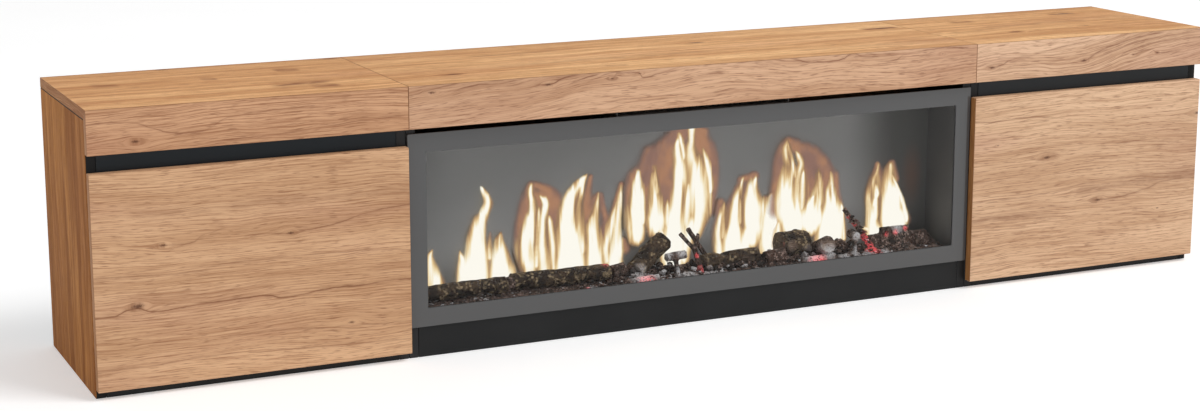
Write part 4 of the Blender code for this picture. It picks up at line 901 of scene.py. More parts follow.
def smokedScreen():
    look = screenLook
    screen = Finish("screen_film")
    x, y, z = screen.axes()
    veil = screen.noise(screen.scaled((3, 1, 5)), detail=2.0)
    speck = screen.noise(screen.place, scale=900.0, detail=2.0)
    dark = screen.fade(x, *look["fade"])
    colour = screen.mix(screen.fade(veil, 0.3, 0.7), look["grey"], look["veil"])
    colour = screen.mix(dark, colour, look["dark"])
    # Painted glow of the fire's light: a reddish patch on the screen, drawn out sideways
    glowX, glowZ = look["paintedGlowPlace"]
    across = screen.times(screen.minus(x, glowX), look["paintedGlowSquash"])
    away = screen.point(across, 0.0, screen.minus(z, glowZ))
    reach = screen.add("VectorMath", "Value", {0: away}, operation="LENGTH")
    colour = screen.mix(screen.fade(reach, 0.0, look["paintedGlowReach"], 0.75, 0.0), colour, look["blush"])
    rough = screen.fade(speck, 0.3, 0.7, *look["roughness"])
    return screen.out(colour, rough, Specular_IOR_Level=look["gloss"])


wear("front_glass", smokedGlass())
wear("flame_screen", smokedScreen())
print("glass and screen done")


# Shaping of bark and ash

def ridged(point, octaves=4):
    # Sharp crests with valleys between them, from 0 to 1
    total = 0.0
    weight = 1.0
    for octave in range(octaves):
        total += weight * (1.0 - abs(noise.noise(point * 2 ** octave)))
        weight *= 0.5
    return total / (2.0 - 0.5 ** (octaves - 1))


# Logs: charred bark with sawn ends

logLook = {
    "voxel": 1.7 * mm,
    "barkDepth": 3.2 * mm,
    "crackDepth": 4.5 * mm,
    "bark": (0.105, 0.068, 0.042),
    "char": (0.026, 0.019, 0.015),
    "moss": (0.40, 0.30, 0.175),
    "rim": 0.55,
    "chips": 235.0,
    "cluster": (0.465, 0.565),
    "sawn": (0.44, 0.34, 0.27),
    "sawnDark": (0.15, 0.095, 0.07),
    "ash": (0.62, 0.62, 0.63),
    "glow": (1.0, 0.100, 0.115),
    "glowStrength": 0.80,
    "speckDepth": 1.0 * mm,
    "roughness": (0.72, 0.95),
    "gloss": 0.12,
}
barkShape = {
    "stretch": 0.25, "ridges": 55, "cracks": 42, "crackStart": 0.10, "crackGain": 2.2,
    "cutFacing": 0.72, "cutBlend": 0.2, "cutPress": 0.15, "cutTone": 0.25,
}
logAxes = {  # turn on plan and lean of each log, in degrees
    "left_log": (2, 0), "second_log": (-3, 0), "thick_log": (20, 31), "long_log": (4, 0), "split_log": (0, 0),
}
# Places on the pile in millimetres: x, y, z and radius. Glowing ones, ones white with ash, and ones of
# bare sawn wood.
glowSpots = inMetres([
    (-168, -110, 106, 10), (-107, -150, 79, 22), (-216, -147, 84, 9), (6, -142, 90, 10), (-2, -132, 112, 6),
    (172, -116, 110, 9), (232, -150, 78, 24), (352, -134, 90, 17), (345, -124, 106, 12), (322, -100, 142, 6),
    (331, -106, 129, 6), (394, -114, 106, 6), (414, -112, 108, 7), (436, -110, 112, 6), (366, -140, 80, 7),
])
ashSpots = inMetres([
    (-113, -142, 92, 26), (-85, -142, 92, 14), (-60, -128, 121, 16), (-30, -128, 121, 14),
    (-41, -144, 90, 13), (-21, -145, 79, 18), (18, -144, 79, 15), (40, -146, 79, 10), (-208, -148, 80, 10),
    (225, -142, 94, 26), (256, -143, 93, 18), (316, -143, 118, 14), (314, -146, 90, 14), (338, -146, 80, 14),
    (372, -146, 80, 12), (420, -106, 118, 18), (288, -146, 82, 14), (112, -147, 79, 7),
])
sawnSpots = inMetres([
    (254, -146, 104, 21), (437, -146, 93, 18), (-110, -131, 100, 12), (102, -134, 90, 17),
    (316, -141, 114, 10), (196, -125, 106, 15),
])


def nearSpot(spots, point):
    # 1 in the middle third of a spot, falling to 0 at its rim
    return max(min(max(1.5 - 1.5 * (point - Vector(spot[:3])).length / spot[3], 0), 1) for spot in spots)


def barkFinish(name, look):
    bark = Finish(name)
    layers = ("sawn", "pit", "warmth", "ashy")
    cut, pit, heat, white = (bark.add("Attribute", "Fac", attribute_name=layer) for layer in layers)
    mottle = bark.noise(bark.place, scale=62.0, detail=5.0, roughness=0.68)
    patch = bark.noise(bark.place, scale=58.0, detail=4.0, roughness=0.6, distortion=0.6)
    speck = bark.noise(bark.place, scale=330.0, roughness=0.6)
    lines = bark.noise(bark.scaled((60, 420, 420)), detail=4.0)
    colour = bark.mix(bark.fade(mottle, 0.38, 0.62), look["char"], look["bark"])
    shade = bark.add("RGBToBW", 0, {0: bark.cells(bark.place, look["chips"], output="Color")})
    rims = bark.cells(bark.place, look["chips"], feature="DISTANCE_TO_EDGE")
    mossy = bark.times(bark.fade(patch, *look["cluster"]), bark.fade(shade, 0.42, 0.66))
    colour = bark.mix(bark.times(mossy, 0.92), colour, look["moss"])
    colour = bark.mix(bark.fade(rims, 0.02, 0.16, look["rim"], 0.0), colour, look["char"])
    colour = bark.mix(bark.fade(pit, 0.35, 0.9, 0.0, 0.9), colour, look["char"])
    wood = bark.mix(bark.fade(lines, 0.35, 0.65), look["sawn"], look["sawnDark"])
    wood = bark.mix(bark.fade(patch, 0.45, 0.60, 0.0, 0.7), wood, look["sawnDark"])
    colour = bark.mix(cut, colour, wood)
    up = bark.add("SeparateXYZ", 2, {0: bark.add("NewGeometry", "Normal")})
    dusted = bark.times(bark.fade(up, 0.45, 0.95), bark.fade(speck, 0.58, 0.68))
    dusted = bark.maths("MULTIPLY_ADD", white, bark.fade(speck, 0.34, 0.50), bark.times(dusted, 0.4))
    colour = bark.mix(bark.times(dusted, 0.95, clamp=True), colour, look["ash"])
    rough = bark.fade(mottle, 0.3, 0.7, *look["roughness"])
    veins = bark.cells(bark.place, scale=170.0, feature="DISTANCE_TO_EDGE")
    ember = bark.most(bark.fade(veins, 0.02, 0.30, 1.0, 0.0), bark.fade(patch, 0.44, 0.56))
    ember = bark.times(bark.times(ember, heat), bark.fade(speck, 0.34, 0.50), clamp=True)
    bark.feed(bark.shader.inputs["Emission Color"], bark.mix(ember, (0, 0, 0), look["glow"]))
    return bark.out(colour, rough, bark.relief(speck, look["speckDepth"], strength=0.9),
                    Emission_Strength=look["glowStrength"], Specular_IOR_Level=look["gloss"])


def paintPoints(piece, cut, pit):
    # Stores what the bark finish reads: bare wood, hollows, glow and ash
    places = [vertex.co for vertex in piece.data.vertices]
    storePoints(piece, "sawn", [max(share, nearSpot(sawnSpots, place)) for share, place in zip(cut, places)])
    storePoints(piece, "pit", pit)
    storePoints(piece, "warmth", [nearSpot(glowSpots, place) for place in places])
    storePoints(piece, "ashy", [nearSpot(ashSpots, place) for place in places])


def roughen(piece, axis, seed, depth, crack):
    # Presses bark ridges and cracks into a log; the sawn ends stay nearly flat
    shape = barkShape
    across = Matrix.Scale(shape["stretch"], 3, axis)
    cuts, pits = [], []
    for vertex, normal in zip(piece.data.vertices, [v.normal.copy() for v in piece.data.vertices]):
        ridge = ridged(across @ vertex.co * shape["ridges"] + Vector((seed, seed * 2, 0)))
        crackNoise = noise.noise(vertex.co * shape["cracks"] + Vector((5, 3, seed)))
        deep = max(0.0, crackNoise - shape["crackStart"]) * shape["crackGain"]
        cut = min(max((abs(normal.dot(axis)) - shape["cutFacing"]) / shape["cutBlend"], 0), 1)
        press = depth * (1 - ridge) * 2 + crack * deep
        vertex.co -= normal * press * (1 - (1 - shape["cutPress"]) * cut)
        cuts.append(shape["cutTone"] * cut)
        pits.append(min(deep + (1 - ridge), 1.0) * (1 - cut))
    paintPoints(piece, cuts, pits)


barkMaterial = barkFinish("charred_bark", logLook)
for index, (name, (turn, lean)) in enumerate(logAxes.items()):
    log = copyOfNode(name, logLook["voxel"])
    turned = Matrix.Rotation(math.radians(turn), 3, "Z") @ Matrix.Rotation(math.radians(-lean), 3, "Y")
    axis = turned @ Vector((1, 0, 0))
    roughen(log, axis, seed=index * 7.3, depth=logLook["barkDepth"], crack=logLook["crackDepth"])
    settle(log, "bark_" + name, barkMaterial, smooth=60)
    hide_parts(name)
print("logs done")


# Ember bed: a crust of ash and char with its sticks, then loose embers and flakes of ash on it

bedLook = {
    **logLook,
    "crust": 2.2 * mm,
    "grit": 1.6 * mm,
    "bark": (0.122, 0.068, 0.050),
    "moss": (0.38, 0.265, 0.22),
    "rim": 0.85,
    "chips": 270.0,
    "cluster": (0.36, 0.58),
    "ash": (0.66, 0.65, 0.66),
    "crustRidges": 95,
    "gritRidges": 240,
}
bedMaterial = barkFinish("embers_and_ash", bedLook)
# Larger pieces of char: centre and half sizes, in millimetres
chunks = {
    "left_char_chunk": ((-346, -112, 94.5), (14, 11, 15)),
    "middle_char_chunk": ((-112, -108, 94.5), (20, 13, 14)),
    "fork_char_chunk": ((20, -108, 92.0), (16, 12, 12)),
    "right_char_chunk": ((300, -108, 93.5), (22, 13, 14)),
}
chunkLook = {"turn": 0.5, "dent": 0.45, "ridges": 60}
for index, (name, rows) in enumerate(chunks.items()):
    centre, half = inMetres(rows)
    deselectAll()
    bpy.ops.mesh.primitive_ico_sphere_add(subdivisions=5, radius=1, location=centre)
    chunk = bpy.context.object
    chunk.scale = half
    chunk.rotation_euler = (0, 0, chunkLook["turn"] * index)
    applyPlace(chunk)
    for vertex in chunk.data.vertices:
        out = vertex.co - Vector(centre)
        crest = ridged(vertex.co * chunkLook["ridges"] + Vector((index, 0, 0)), octaves=3)
        vertex.co -= out * chunkLook["dent"] * (1 - crest)
    roughen(chunk, Vector((1, 0, 0)), seed=index * 3.7, depth=bedLook["crust"], crack=bedLook["grit"])
    settle(chunk, name, bedMaterial, smooth=50)

bedLow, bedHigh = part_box("ember_bed")
bed = copyOfNode("ember_bed", bedLook["voxel"])
pits = []
for vertex, normal in zip(bed.data.vertices, [v.normal.copy() for v in bed.data.vertices]):
    press = 1 - ridged(vertex.co * bedLook["crustRidges"])
    fine = 1 - ridged(vertex.co * bedLook["gritRidges"] + Vector((3, 1, 2)))
    if normal.z > -0.2:  # not its underside
        vertex.co -= normal * (press * bedLook["crust"] + fine * bedLook["grit"])
    pits.append(min(press * 1.3, 1.0))
paintPoints(bed, [0.0] * len(pits), pits)
settle(bed, "ash_crust", bedMaterial, smooth=60)
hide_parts("ember_bed")


# Small pieces: how many unlike lumps they are copied from, their dents, the share that lies round the
# glowing and white places, the margins of the bed, how they are turned and stretched, and how many glow
scatterLook = {
    "shapes": 6, "dent": 0.55, "dentScale": 1.3,
    "nearSpots": 0.62, "spread": 1.5,
    "margin": 10 * mm, "frontMargin": 4 * mm,
    "turn": 6.28, "tilt": 0.5, "depths": (0.5, 1.0), "heights": (0.6, 1.0),
    "above": 300 * mm, "flattest": 0.35, "highest": 84 * mm, "lift": 0.35,  # how a lump is laid on the bed
    "glowing": 0.6, "white": 0.08, "pits": (0.0, 0.3, 0.6, 0.9),
}
# How many, from what size to what size, flatness and seed. A heap has its width, its depth and how high
# it is piled; a stem has its two ends and how far off it the flakes lie.
scatters = {
    "loose_embers": {"count": 520, "sizes": (1.8 * mm, 4.6 * mm), "squash": 0.8, "seed": 5},
    "ember_rubble": {"count": 420, "sizes": (3.5 * mm, 7.5 * mm), "squash": 0.8, "seed": 8,
                     "heap": inMetres([(-170, 340), (-138, -80), (0, 8)])},
    "branch_flakes": {"count": 60, "sizes": (2.2 * mm, 5.5 * mm), "squash": 0.5, "seed": 14,
                      "stem": inMetres([(350, -132, 94), (323, -100, 144), (5, 0, 0)])},
    "ash_flakes": {"count": 80, "sizes": (2.2 * mm, 5.5 * mm), "squash": 0.35, "seed": 11, "white": True},
}


def lumpShapes(squash):
    look = scatterLook
    shapes = []
    for index in range(look["shapes"]):
        deselectAll()
        bpy.ops.mesh.primitive_ico_sphere_add(subdivisions=1, radius=1)
        lump = bpy.context.object
        for vertex in lump.data.vertices:
            shift = noise.noise(vertex.co * look["dentScale"] + Vector((index * 3.1, squash, 0)))
            vertex.co *= 1 + look["dent"] * shift
            vertex.co.z *= squash
        corners = [vertex.co.copy() for vertex in lump.data.vertices]
        shapes.append((corners, [list(face.vertices) for face in lump.data.polygons]))
        bpy.data.objects.remove(lump)
    return shapes


def scatter(name, kind):
    # Drops small lumps on the bed, most of them round the glowing and white places, or in one heap,
    # or along a stem
    look = scatterLook
    heap, stem, white = kind.get("heap"), kind.get("stem"), kind.get("white")
    chance = random.Random(kind["seed"])
    shapes = lumpShapes(kind["squash"])
    spots = ashSpots if white else glowSpots + ashSpots
    points, faces = [], []
    warmth, ashy, pit = [], [], []
    placed = 0
    while placed < kind["count"]:
        if heap:
            x = chance.uniform(*heap[0])
            y = chance.uniform(*heap[1])
        elif chance.random() < look["nearSpots"]:
            spot = chance.choice(spots)
            x = spot[0] + chance.gauss(0, 1) * spot[3] * look["spread"]
            y = spot[1] + chance.gauss(0, 1) * spot[3]
        else:
            x = chance.uniform(bedLow.x + look["margin"], bedHigh.x - look["margin"])
            y = chance.uniform(bedLow.y + look["frontMargin"], bedHigh.y - look["margin"])
        size = chance.uniform(*kind["sizes"])
        turn = Matrix.Rotation(chance.uniform(0, look["turn"]), 3, "Z")
        turn = turn @ Matrix.Rotation(chance.uniform(-look["tilt"], look["tilt"]), 3, "X")
        stretch = Matrix.Diagonal((1, chance.uniform(*look["depths"]), chance.uniform(*look["heights"])))
        corners, sides = chance.choice(shapes)
        if not (bedLow.x + size < x < bedHigh.x - size and bedLow.y + size < y < bedHigh.y - size):
            continue
        if stem:
            away = Vector((chance.gauss(0, 1), chance.gauss(0, 1), chance.gauss(0, 1))).normalized()
            place = Vector(stem[0]).lerp(Vector(stem[1]), chance.random()) + away * stem[2][0]
        else:
            hit, place, normal, face = bed.ray_cast(Vector((x, y, look["above"])), Vector((0, 0, -1)))
            if not hit or normal.z < look["flattest"] or place.z > look["highest"]:
                continue
        if heap:
            place.z += chance.random() * heap[2][1]
        start = len(points)
        lift = Vector((0, 0, size * kind["squash"] * look["lift"]))
        points += [place + turn @ stretch @ (corner * size) + lift for corner in corners]
        faces += [[start + corner for corner in side] for side in sides]
        glow = nearSpot(glowSpots, place) if chance.random() < look["glowing"] else 0.0
        pale = 1.0 if white or chance.random() < look["white"] else nearSpot(ashSpots, place)
        warmth += [glow] * len(corners)
        ashy += [pale] * len(corners)
        pit += [chance.choice(look["pits"])] * len(corners)
        placed += 1
    mesh = bpy.data.meshes.new(name)
    mesh.from_pydata(points, [], faces)
    piece = bpy.data.objects.new(name, mesh)
    bpy.context.scene.collection.objects.link(piece)
    storePoints(piece, "sawn", [0.0] * len(points))
    storePoints(piece, "pit", pit)
    storePoints(piece, "warmth", warmth)
    storePoints(piece, "ashy", ashy)
    settle(piece, name, bedMaterial, smooth=30)


for name, kind in scatters.items():
    scatter(name, kind)
print("ember bed done")


# Flames: thin sheets of light in front of the screen, each drawn from the tongues that make it up

flameLook = {
    "cell": 1.7 * mm,
    "thickness": 1.4 * mm,
    "gaps": (3.4 * mm, 5.6 * mm),  # in front of the screen, by turns
    "steps": 70,  # drawn along each stroke
    "thinnest": 0.4,
    "fullness": 9.0,  # a stroke thinner than this, in millimetres, is drawn fuller
    "fullest": 2.6,
    "blend": 3.0,
    "margin": 8.0,
    "ceiling": 341.0,
    "reach": -7.0,  # depth at which a sheet ends
    "core": (1.03, 1.00, 0.90),
    "cream": (0.93, 0.80, 0.52),
    "pale": (0.80, 0.57, 0.29),
    "tan": (0.55, 0.35, 0.165),
    "rust": (0.34, 0.20, 0.11),
    "haze": (0.440, 0.225, 0.128),
    "plum": (0.285, 0.160, 0.125),
    "strength": 1.12,
    "lickSize": 9.0,
    "streaks": (14.0, 42.0),  # strength at the root and at the tips
    "opaque": 0.97,
    "misty": 0.76,
}
# Strokes from root to tip: x, z and half width, in millimetres
flameTongues = {
    "far_left": [
        [(-460, 89, 15.2), (-462, 100, 15.7), (-466, 114, 12.7), (-470, 134, 8.1), (-471, 146, 5.1),
         (-468, 154, 2.3), (-466, 158, 0.5)],
    ],
    "second": [
        [(-396, 83, 30.8), (-396, 93, 30.3), (-391, 114, 25.7), (-388, 137, 21.6), (-389, 162, 17.5),
         (-387, 178, 14.9), (-382, 197, 11.3), (-373, 213, 8.5), (-367, 225, 8), (-368, 234, 6.5),
         (-373, 244, 4.9), (-377, 252, 3.4), (-380, 257, 0.8)],
        [(-414, 85, 12.8), (-416, 104, 9.2), (-416, 121, 7.7), (-416, 133, 5.6), (-418, 143, 3.1),
         (-419, 151, 0.5)],
        [(-344, 89, 23.4), (-343, 100, 25.5), (-344, 116, 20.8), (-345, 131, 16.6), (-347, 148, 11.2),
         (-348, 160, 7.8), (-346, 168, 4.7), (-344, 176, 0.8)],
        [(-367, 133, 5.7), (-367, 150, 3.1), (-366, 162, 2.1), (-365, 174, 0.5)],
    ],
    "third": [
        [(-292, 98, 10.5), (-292, 110, 13.2), (-297, 126, 14.7), (-298, 145, 15.2), (-295, 164, 14.2),
         (-289, 188, 10.5), (-284, 205, 7.6), (-285, 222, 5.8), (-289, 234, 4.7), (-289, 244, 3.9),
         (-287, 252, 1.6)],
        [(-264, 100, 13.8), (-266, 127, 13.2), (-269, 149, 10.6), (-268, 171, 7.1), (-267, 191, 6.1),
         (-264, 205, 5.3), (-262, 214, 4.5), (-265, 222, 3.7), (-269, 227, 2.1), (-273, 230, 0.8)],
        [(-217, 93, 33.4), (-217, 107, 31.6), (-217, 122, 28.9), (-219, 144, 25.7), (-222, 167, 21.4),
         (-222, 186, 17.1), (-220, 203, 15), (-215, 218, 13.7), (-207, 232, 11.3), (-198, 243, 8.1),
         (-190, 252, 5.1), (-183, 261, 0.8)],
        [(-169, 90, 18.9), (-170, 117, 16.8), (-171, 140, 13.5), (-171, 162, 10.3), (-170, 181, 8.1),
         (-167, 198, 5.4), (-164, 213, 3.2), (-162, 225, 0.8)],
        [(-132, 94, 16.4), (-131, 106, 15.8), (-129, 118, 14.2), (-129, 138, 10.4), (-128, 158, 8.2),
         (-126, 180, 6.8), (-123, 202, 5.5), (-121, 219, 3.8), (-120, 234, 1.1)],
        [(-279, 110, 6.1), (-278, 152, 4.9), (-275, 197, 3.7), (-274, 211, 0.7)],
        [(-246, 103, 8), (-248, 138, 6.8), (-253, 178, 4.9), (-255, 193, 0.7)],
        [(-194, 120, 0.7), (-194, 132, 10), (-199, 173, 8.1), (-199, 213, 6.2), (-190, 246, 3.8),
         (-186, 259, 0.7)],
        [(-175, 113, 11.3), (-176, 159, 10.1), (-175, 176, 6.3), (-174, 193, 0.7)],
        [(-146, 104, 7.6), (-148, 128, 7.6), (-138, 164, 8.2), (-131, 195, 3.2), (-128, 207, 0.7)],
    ],
    "middle": [
        [(-90, 141, 15.3), (-91, 152, 17.7), (-93, 169, 16.5), (-93, 191, 14.1), (-91, 213, 11.6),
         (-90, 230, 7.9), (-89, 244, 4.3), (-87, 256, 0.9)],
        [(-52, 153, 16.9), (-54, 165, 20.3), (-54, 179, 16.6), (-55, 199, 12.9), (-57, 216, 9.2),
         (-58, 232, 6.2), (-56, 249, 3.7), (-54, 263, 0.9)],
        [(-17, 89, 23.3), (-17, 106, 27.3), (-17, 126, 25.5), (-17, 142, 23.6), (-15, 164, 19.3),
         (-10, 189, 14.6), (-5, 217, 13.4), (-5, 244, 13.1), (-8, 267, 10), (-11, 284, 6.8),
         (-12, 297, 4.7), (-10, 307, 1.2)],
        [(22, 133, 12.5), (24, 144, 16.3), (31, 163, 18.2), (33, 185, 20.1), (31, 213, 22), (28, 236, 20.1),
         (24, 256, 16.9), (17, 273, 12.2), (14, 288, 8.1), (15, 301, 5.9), (15, 315, 5.6), (16, 327, 6.9)],
        [(0, 93, 13.1), (4, 110, 12.5), (12, 131, 13.7), (17, 150, 15.6), (25, 180, 0.7)],
        [(-78, 161, 0.7), (-78, 173, 5.8), (-80, 216, 3.2), (-81, 229, 0.7)],
        [(-51, 210, 0.7), (-51, 222, 4.5), (-55, 252, 2.6), (-57, 264, 0.7)],
        [(-31, 150, 0.7), (-31, 162, 7.8), (-31, 185, 5.2), (-31, 201, 0.7)],
        [(0, 267, 0.7), (0, 279, 3.9), (-5, 303, 3.9), (-8, 317, 0.7)],
        [(8, 146, 0.7), (8, 158, 8.5), (10, 214, 5.2), (11, 230, 0.7)],
        [(53, 204, 0.7), (53, 216, 5.3), (50, 242, 5.3), (41, 275, 3.3), (38, 287, 0.7)],
        [(-30, 113, 7.8), (-39, 137, 6.5), (-45, 154, 0.7)],
        [(14, 112, 0.7), (14, 124, 5.2), (-2, 139, 3.9), (-12, 148, 0.7)],
    ],
    "fourth": [
        [(74, 88, 11.4), (73, 111, 9.5), (72, 128, 7.6), (73, 142, 6.3), (76, 158, 4.4), (80, 178, 1)],
        [(104, 88, 30.3), (103, 105, 28), (101, 125, 22.9), (101, 139, 17.2), (102, 162, 11.8),
         (107, 184, 8), (112, 203, 4.8), (116, 217, 2.6), (120, 226, 0.6)],
        [(142, 112, 15.4), (143, 129, 20.6), (142, 141, 23.1), (142, 164, 24.4), (140, 184, 18),
         (140, 201, 11.6), (143, 214, 6.7), (146, 225, 1.9)],
        [(176, 93, 22), (177, 103, 24.6), (181, 120, 26.6), (183, 140, 25.9), (182, 157, 20.1),
         (180, 171, 14.3), (178, 183, 7.8), (178, 191, 2.6)],
        [(126, 89, 12.8), (123, 103, 14.1), (126, 120, 16), (132, 152, 0.7)],
        [(80, 119, 0.7), (80, 131, 8), (82, 172, 4.6), (83, 187, 0.7)],
        [(115, 141, 0.7), (115, 153, 6), (114, 182, 3.3), (114, 195, 0.7)],
    ],
    "fifth": [
        [(220, 129, 22.9), (218, 142, 26.1), (211, 157, 24.8), (206, 180, 20.2), (207, 203, 16.3),
         (211, 225, 11.7), (212, 242, 7.8), (207, 257, 5.9), (205, 272, 5.5), (207, 287, 2)],
        [(233, 129, 16.4), (230, 144, 17), (229, 161, 13.1), (227, 184, 9.8), (227, 207, 8.2),
         (231, 227, 7.2), (236, 242, 5.9), (232, 255, 4.9), (225, 266, 1)],
        [(267, 123, 16.5), (271, 137, 19.8), (269, 151, 17.2), (270, 168, 11.9), (271, 186, 7.9),
         (271, 203, 4), (269, 221, 1)],
        [(299, 92, 31.5), (299, 108, 32.5), (301, 125, 29.9), (302, 145, 21.9), (300, 163, 14.6),
         (298, 180, 9.3), (298, 195, 5), (297, 212, 1)],
        [(253, 119, 0.7), (253, 131, 19.7), (251, 144, 19.1), (256, 158, 13.2), (265, 184, 0.7)],
        [(224, 214, 0.7), (224, 226, 5.5), (218, 246, 5.5), (210, 275, 4.1), (206, 289, 0.7)],
        [(239, 157, 0.7), (239, 169, 8.2), (241, 215, 5.5), (242, 231, 0.7)],
        [(277, 159, 0.7), (277, 171, 7.6), (274, 216, 4.1), (273, 230, 0.7)],
        [(303, 153, 0.7), (303, 165, 4.9), (299, 210, 2.8), (298, 222, 0.7)],
        [(329, 96, 4.9), (324, 146, 4.9), (322, 161, 0.7)],
        [(191, 98, 10.9), (192, 121, 9.5), (193, 143, 0.7)],
    ],
    "sixth": [
        [(399, 84, 19.6), (398, 93, 21.2), (392, 110, 16.1), (389, 130, 12.9), (386, 150, 10.6),
         (383, 166, 8.7), (385, 182, 8.7), (390, 197, 6.9), (396, 212, 3.2), (401, 228, 0.7)],
        [(437, 113, 29), (434, 122, 28.3), (431, 132, 25.5), (430, 146, 23.4), (430, 162, 21.8),
         (426, 178, 16.2), (423, 194, 12), (423, 206, 10), (425, 218, 7.9), (426, 225, 3.2)],
        [(391, 151, 7.4), (395, 161, 5.5), (400, 170, 4.2), (399, 178, 2.8), (395, 191, 0.7)],
        [(398, 121, 0.7), (398, 133, 6.4), (396, 179, 4.3), (395, 193, 0.7)],
        [(463, 111, 0.7), (463, 123, 5), (449, 165, 4.3), (432, 200, 2.9), (427, 211, 0.7)],
        [(405, 100, 7.1), (386, 106, 7.1), (368, 112, 0.7)],
    ],
}
# The brown haze round them, in the same way
flameHazes = {
    "second": [
        [(-365, 133, 7.8), (-366, 150, 5.2), (-365, 166, 3.1), (-364, 177, 1)],
    ],
    "third": [
        [(-294, 116, 16.3), (-302, 141, 15.8), (-305, 165, 13.6), (-303, 189, 12.1), (-299, 213, 10.5),
         (-292, 235, 10), (-288, 249, 6.3)],
        [(-279, 228, 11.1), (-264, 225, 13.2), (-252, 214, 15.9), (-249, 192, 15.9), (-251, 170, 13.3),
         (-253, 141, 10.6)],
        [(-243, 223, 10.6), (-239, 208, 10.6), (-243, 184, 10.6)],
        [(-192, 149, 16.1), (-191, 169, 12.9), (-188, 183, 8.1)],
        [(-177, 182, 16.2), (-170, 201, 11.4), (-164, 220, 5.4), (-162, 226, 1.1)],
        [(-149, 110, 13.6), (-150, 135, 14.1), (-149, 157, 12.5), (-146, 174, 7.6)],
        [(-112, 121, 8.2), (-115, 136, 5.5)],
        [(-245, 225, 6.2), (-256, 237, 7.4), (-279, 250, 4.9)],
        [(-278, 118, 6.1), (-275, 169, 7.4), (-273, 225, 8.6)],
        [(-179, 165, 10), (-184, 194, 10), (-183, 226, 6.3), (-177, 255, 3.8)],
        [(-119, 237, 3.8), (-127, 209, 5.1), (-140, 173, 6.3), (-150, 185, 5.1), (-158, 222, 3.8)],
        [(-248, 138, 8.7), (-248, 217, 8.7)],
    ],
    "middle": [
        [(-96, 164, 15.9), (-96, 197, 17.1), (-95, 225, 16.5), (-94, 244, 13.4), (-93, 255, 7.3)],
        [(-71, 184, 15.3), (-68, 211, 15.4), (-67, 236, 15.4), (-62, 255, 15.4), (-53, 276, 17.3),
         (-31, 297, 16.1), (-10, 312, 15.6), (9, 317, 10.6)],
        [(-34, 180, 15.5), (-31, 213, 17), (-33, 241, 18.6), (-31, 269, 18.6)],
        [(25, 315, 12.5), (31, 300, 18.8), (39, 277, 19.5), (44, 254, 18.2), (45, 226, 14.2),
         (44, 195, 12.6), (37, 162, 12.6)],
        [(3, 283, 18.7), (0, 261, 18.7)],
        [(-82, 251, 7.7), (-75, 268, 9), (-66, 290, 9)],
        [(42, 316, 6.6), (23, 323, 6.6), (-9, 316, 9.1)],
        [(53, 172, 6.6), (59, 212, 7.9), (60, 253, 7.9), (53, 289, 7.9)],
        [(10, 170, 10.5), (10, 205, 13.1), (10, 275, 11.8)],
    ],
    "fourth": [
        [(75, 108, 11.4), (73, 131, 10.8), (73, 147, 8.9), (77, 164, 7), (80, 181, 1.6)],
        [(94, 140, 19.1), (99, 168, 15.9), (109, 195, 10.8), (117, 220, 4.5), (120, 228, 1.3)],
        [(126, 131, 19.2), (126, 159, 19.2), (131, 187, 16), (136, 209, 11.5)],
        [(166, 167, 12.9), (166, 184, 5.2)],
        [(145, 228, 6.7), (115, 224, 5.4)],
        [(72, 170, 6.6), (75, 186, 6.6)],
    ],
    "fifth": [
        [(191, 165, 17.9), (189, 193, 14.6), (191, 222, 12.3), (193, 247, 11.7), (200, 269, 11.7),
         (206, 283, 6.5)],
        [(220, 273, 8.5), (233, 269, 11.1), (253, 259, 15.8), (269, 246, 16.5), (286, 230, 15.2),
         (296, 212, 13.3), (304, 217, 5.3)],
        [(249, 239, 16.4), (253, 213, 17.1), (251, 187, 14.8), (251, 162, 11.8)],
        [(282, 202, 16.5), (284, 179, 15.2), (289, 155, 16.6)],
        [(312, 159, 10), (317, 135, 10), (322, 112, 10)],
        [(225, 277, 8.2), (210, 286, 6.1)],
        [(320, 158, 4.9), (313, 177, 6.3), (308, 215, 6.3)],
    ],
    "sixth": [
        [(389, 169, 13.8), (391, 189, 11.5), (395, 208, 7.8), (401, 226, 2.8)],
        [(414, 179, 11.6), (414, 199, 8.3), (421, 214, 7.9), (426, 225, 5.1)],
        [(449, 152, 7), (456, 131, 7.9), (461, 117, 9.3)],
        [(401, 139, 7.1), (403, 175, 8.5), (401, 206, 7.1), (398, 227, 4.3)],
        [(439, 196, 5.7), (430, 226, 5.7)],
    ],
}
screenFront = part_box("flame_screen")[0].y
farOutside = -99.0  # depth of a point that no stroke comes near


def smoothPath(points):
    # Catmull-Rom through the points of a stroke
    rows = [points[0]] + list(points) + [points[-1]]
    path = []
    for step in range(flameLook["steps"]):
        share = step / (flameLook["steps"] - 1) * (len(points) - 1)
        index = min(int(share), len(points) - 2)
        t = share - index
        a, b, c, d = (Vector(rows[index + k]) for k in range(4))
        bend = (2 * a - 5 * b + 4 * c - d) * t * t + (3 * b - a - 3 * c + d) * t ** 3
        path.append(0.5 * (2 * b + (c - a) * t + bend))
    return path


def inward(strokes, x, z, blend=0.0):
    # How far each point lies inside the nearest stroke, in millimetres; below 0 outside, fuller in thin tips
    depths = []
    for stroke in strokes:
        depth = numpy.full(len(x), farOutside)
        for spot in smoothPath(stroke):
            radius = max(spot.z, flameLook["thinnest"])
            fuller = min(max(flameLook["fullness"] / radius, 1.0), flameLook["fullest"])
            depth = numpy.maximum(depth, (radius - numpy.hypot(x - spot.x, z - spot.y)) * fuller)
        depths.append(depth)
    if not blend:
        return numpy.max(depths, axis=0)
    return blend * numpy.log(numpy.sum([numpy.exp(depth / blend) for depth in depths], axis=0) + 1e-12)


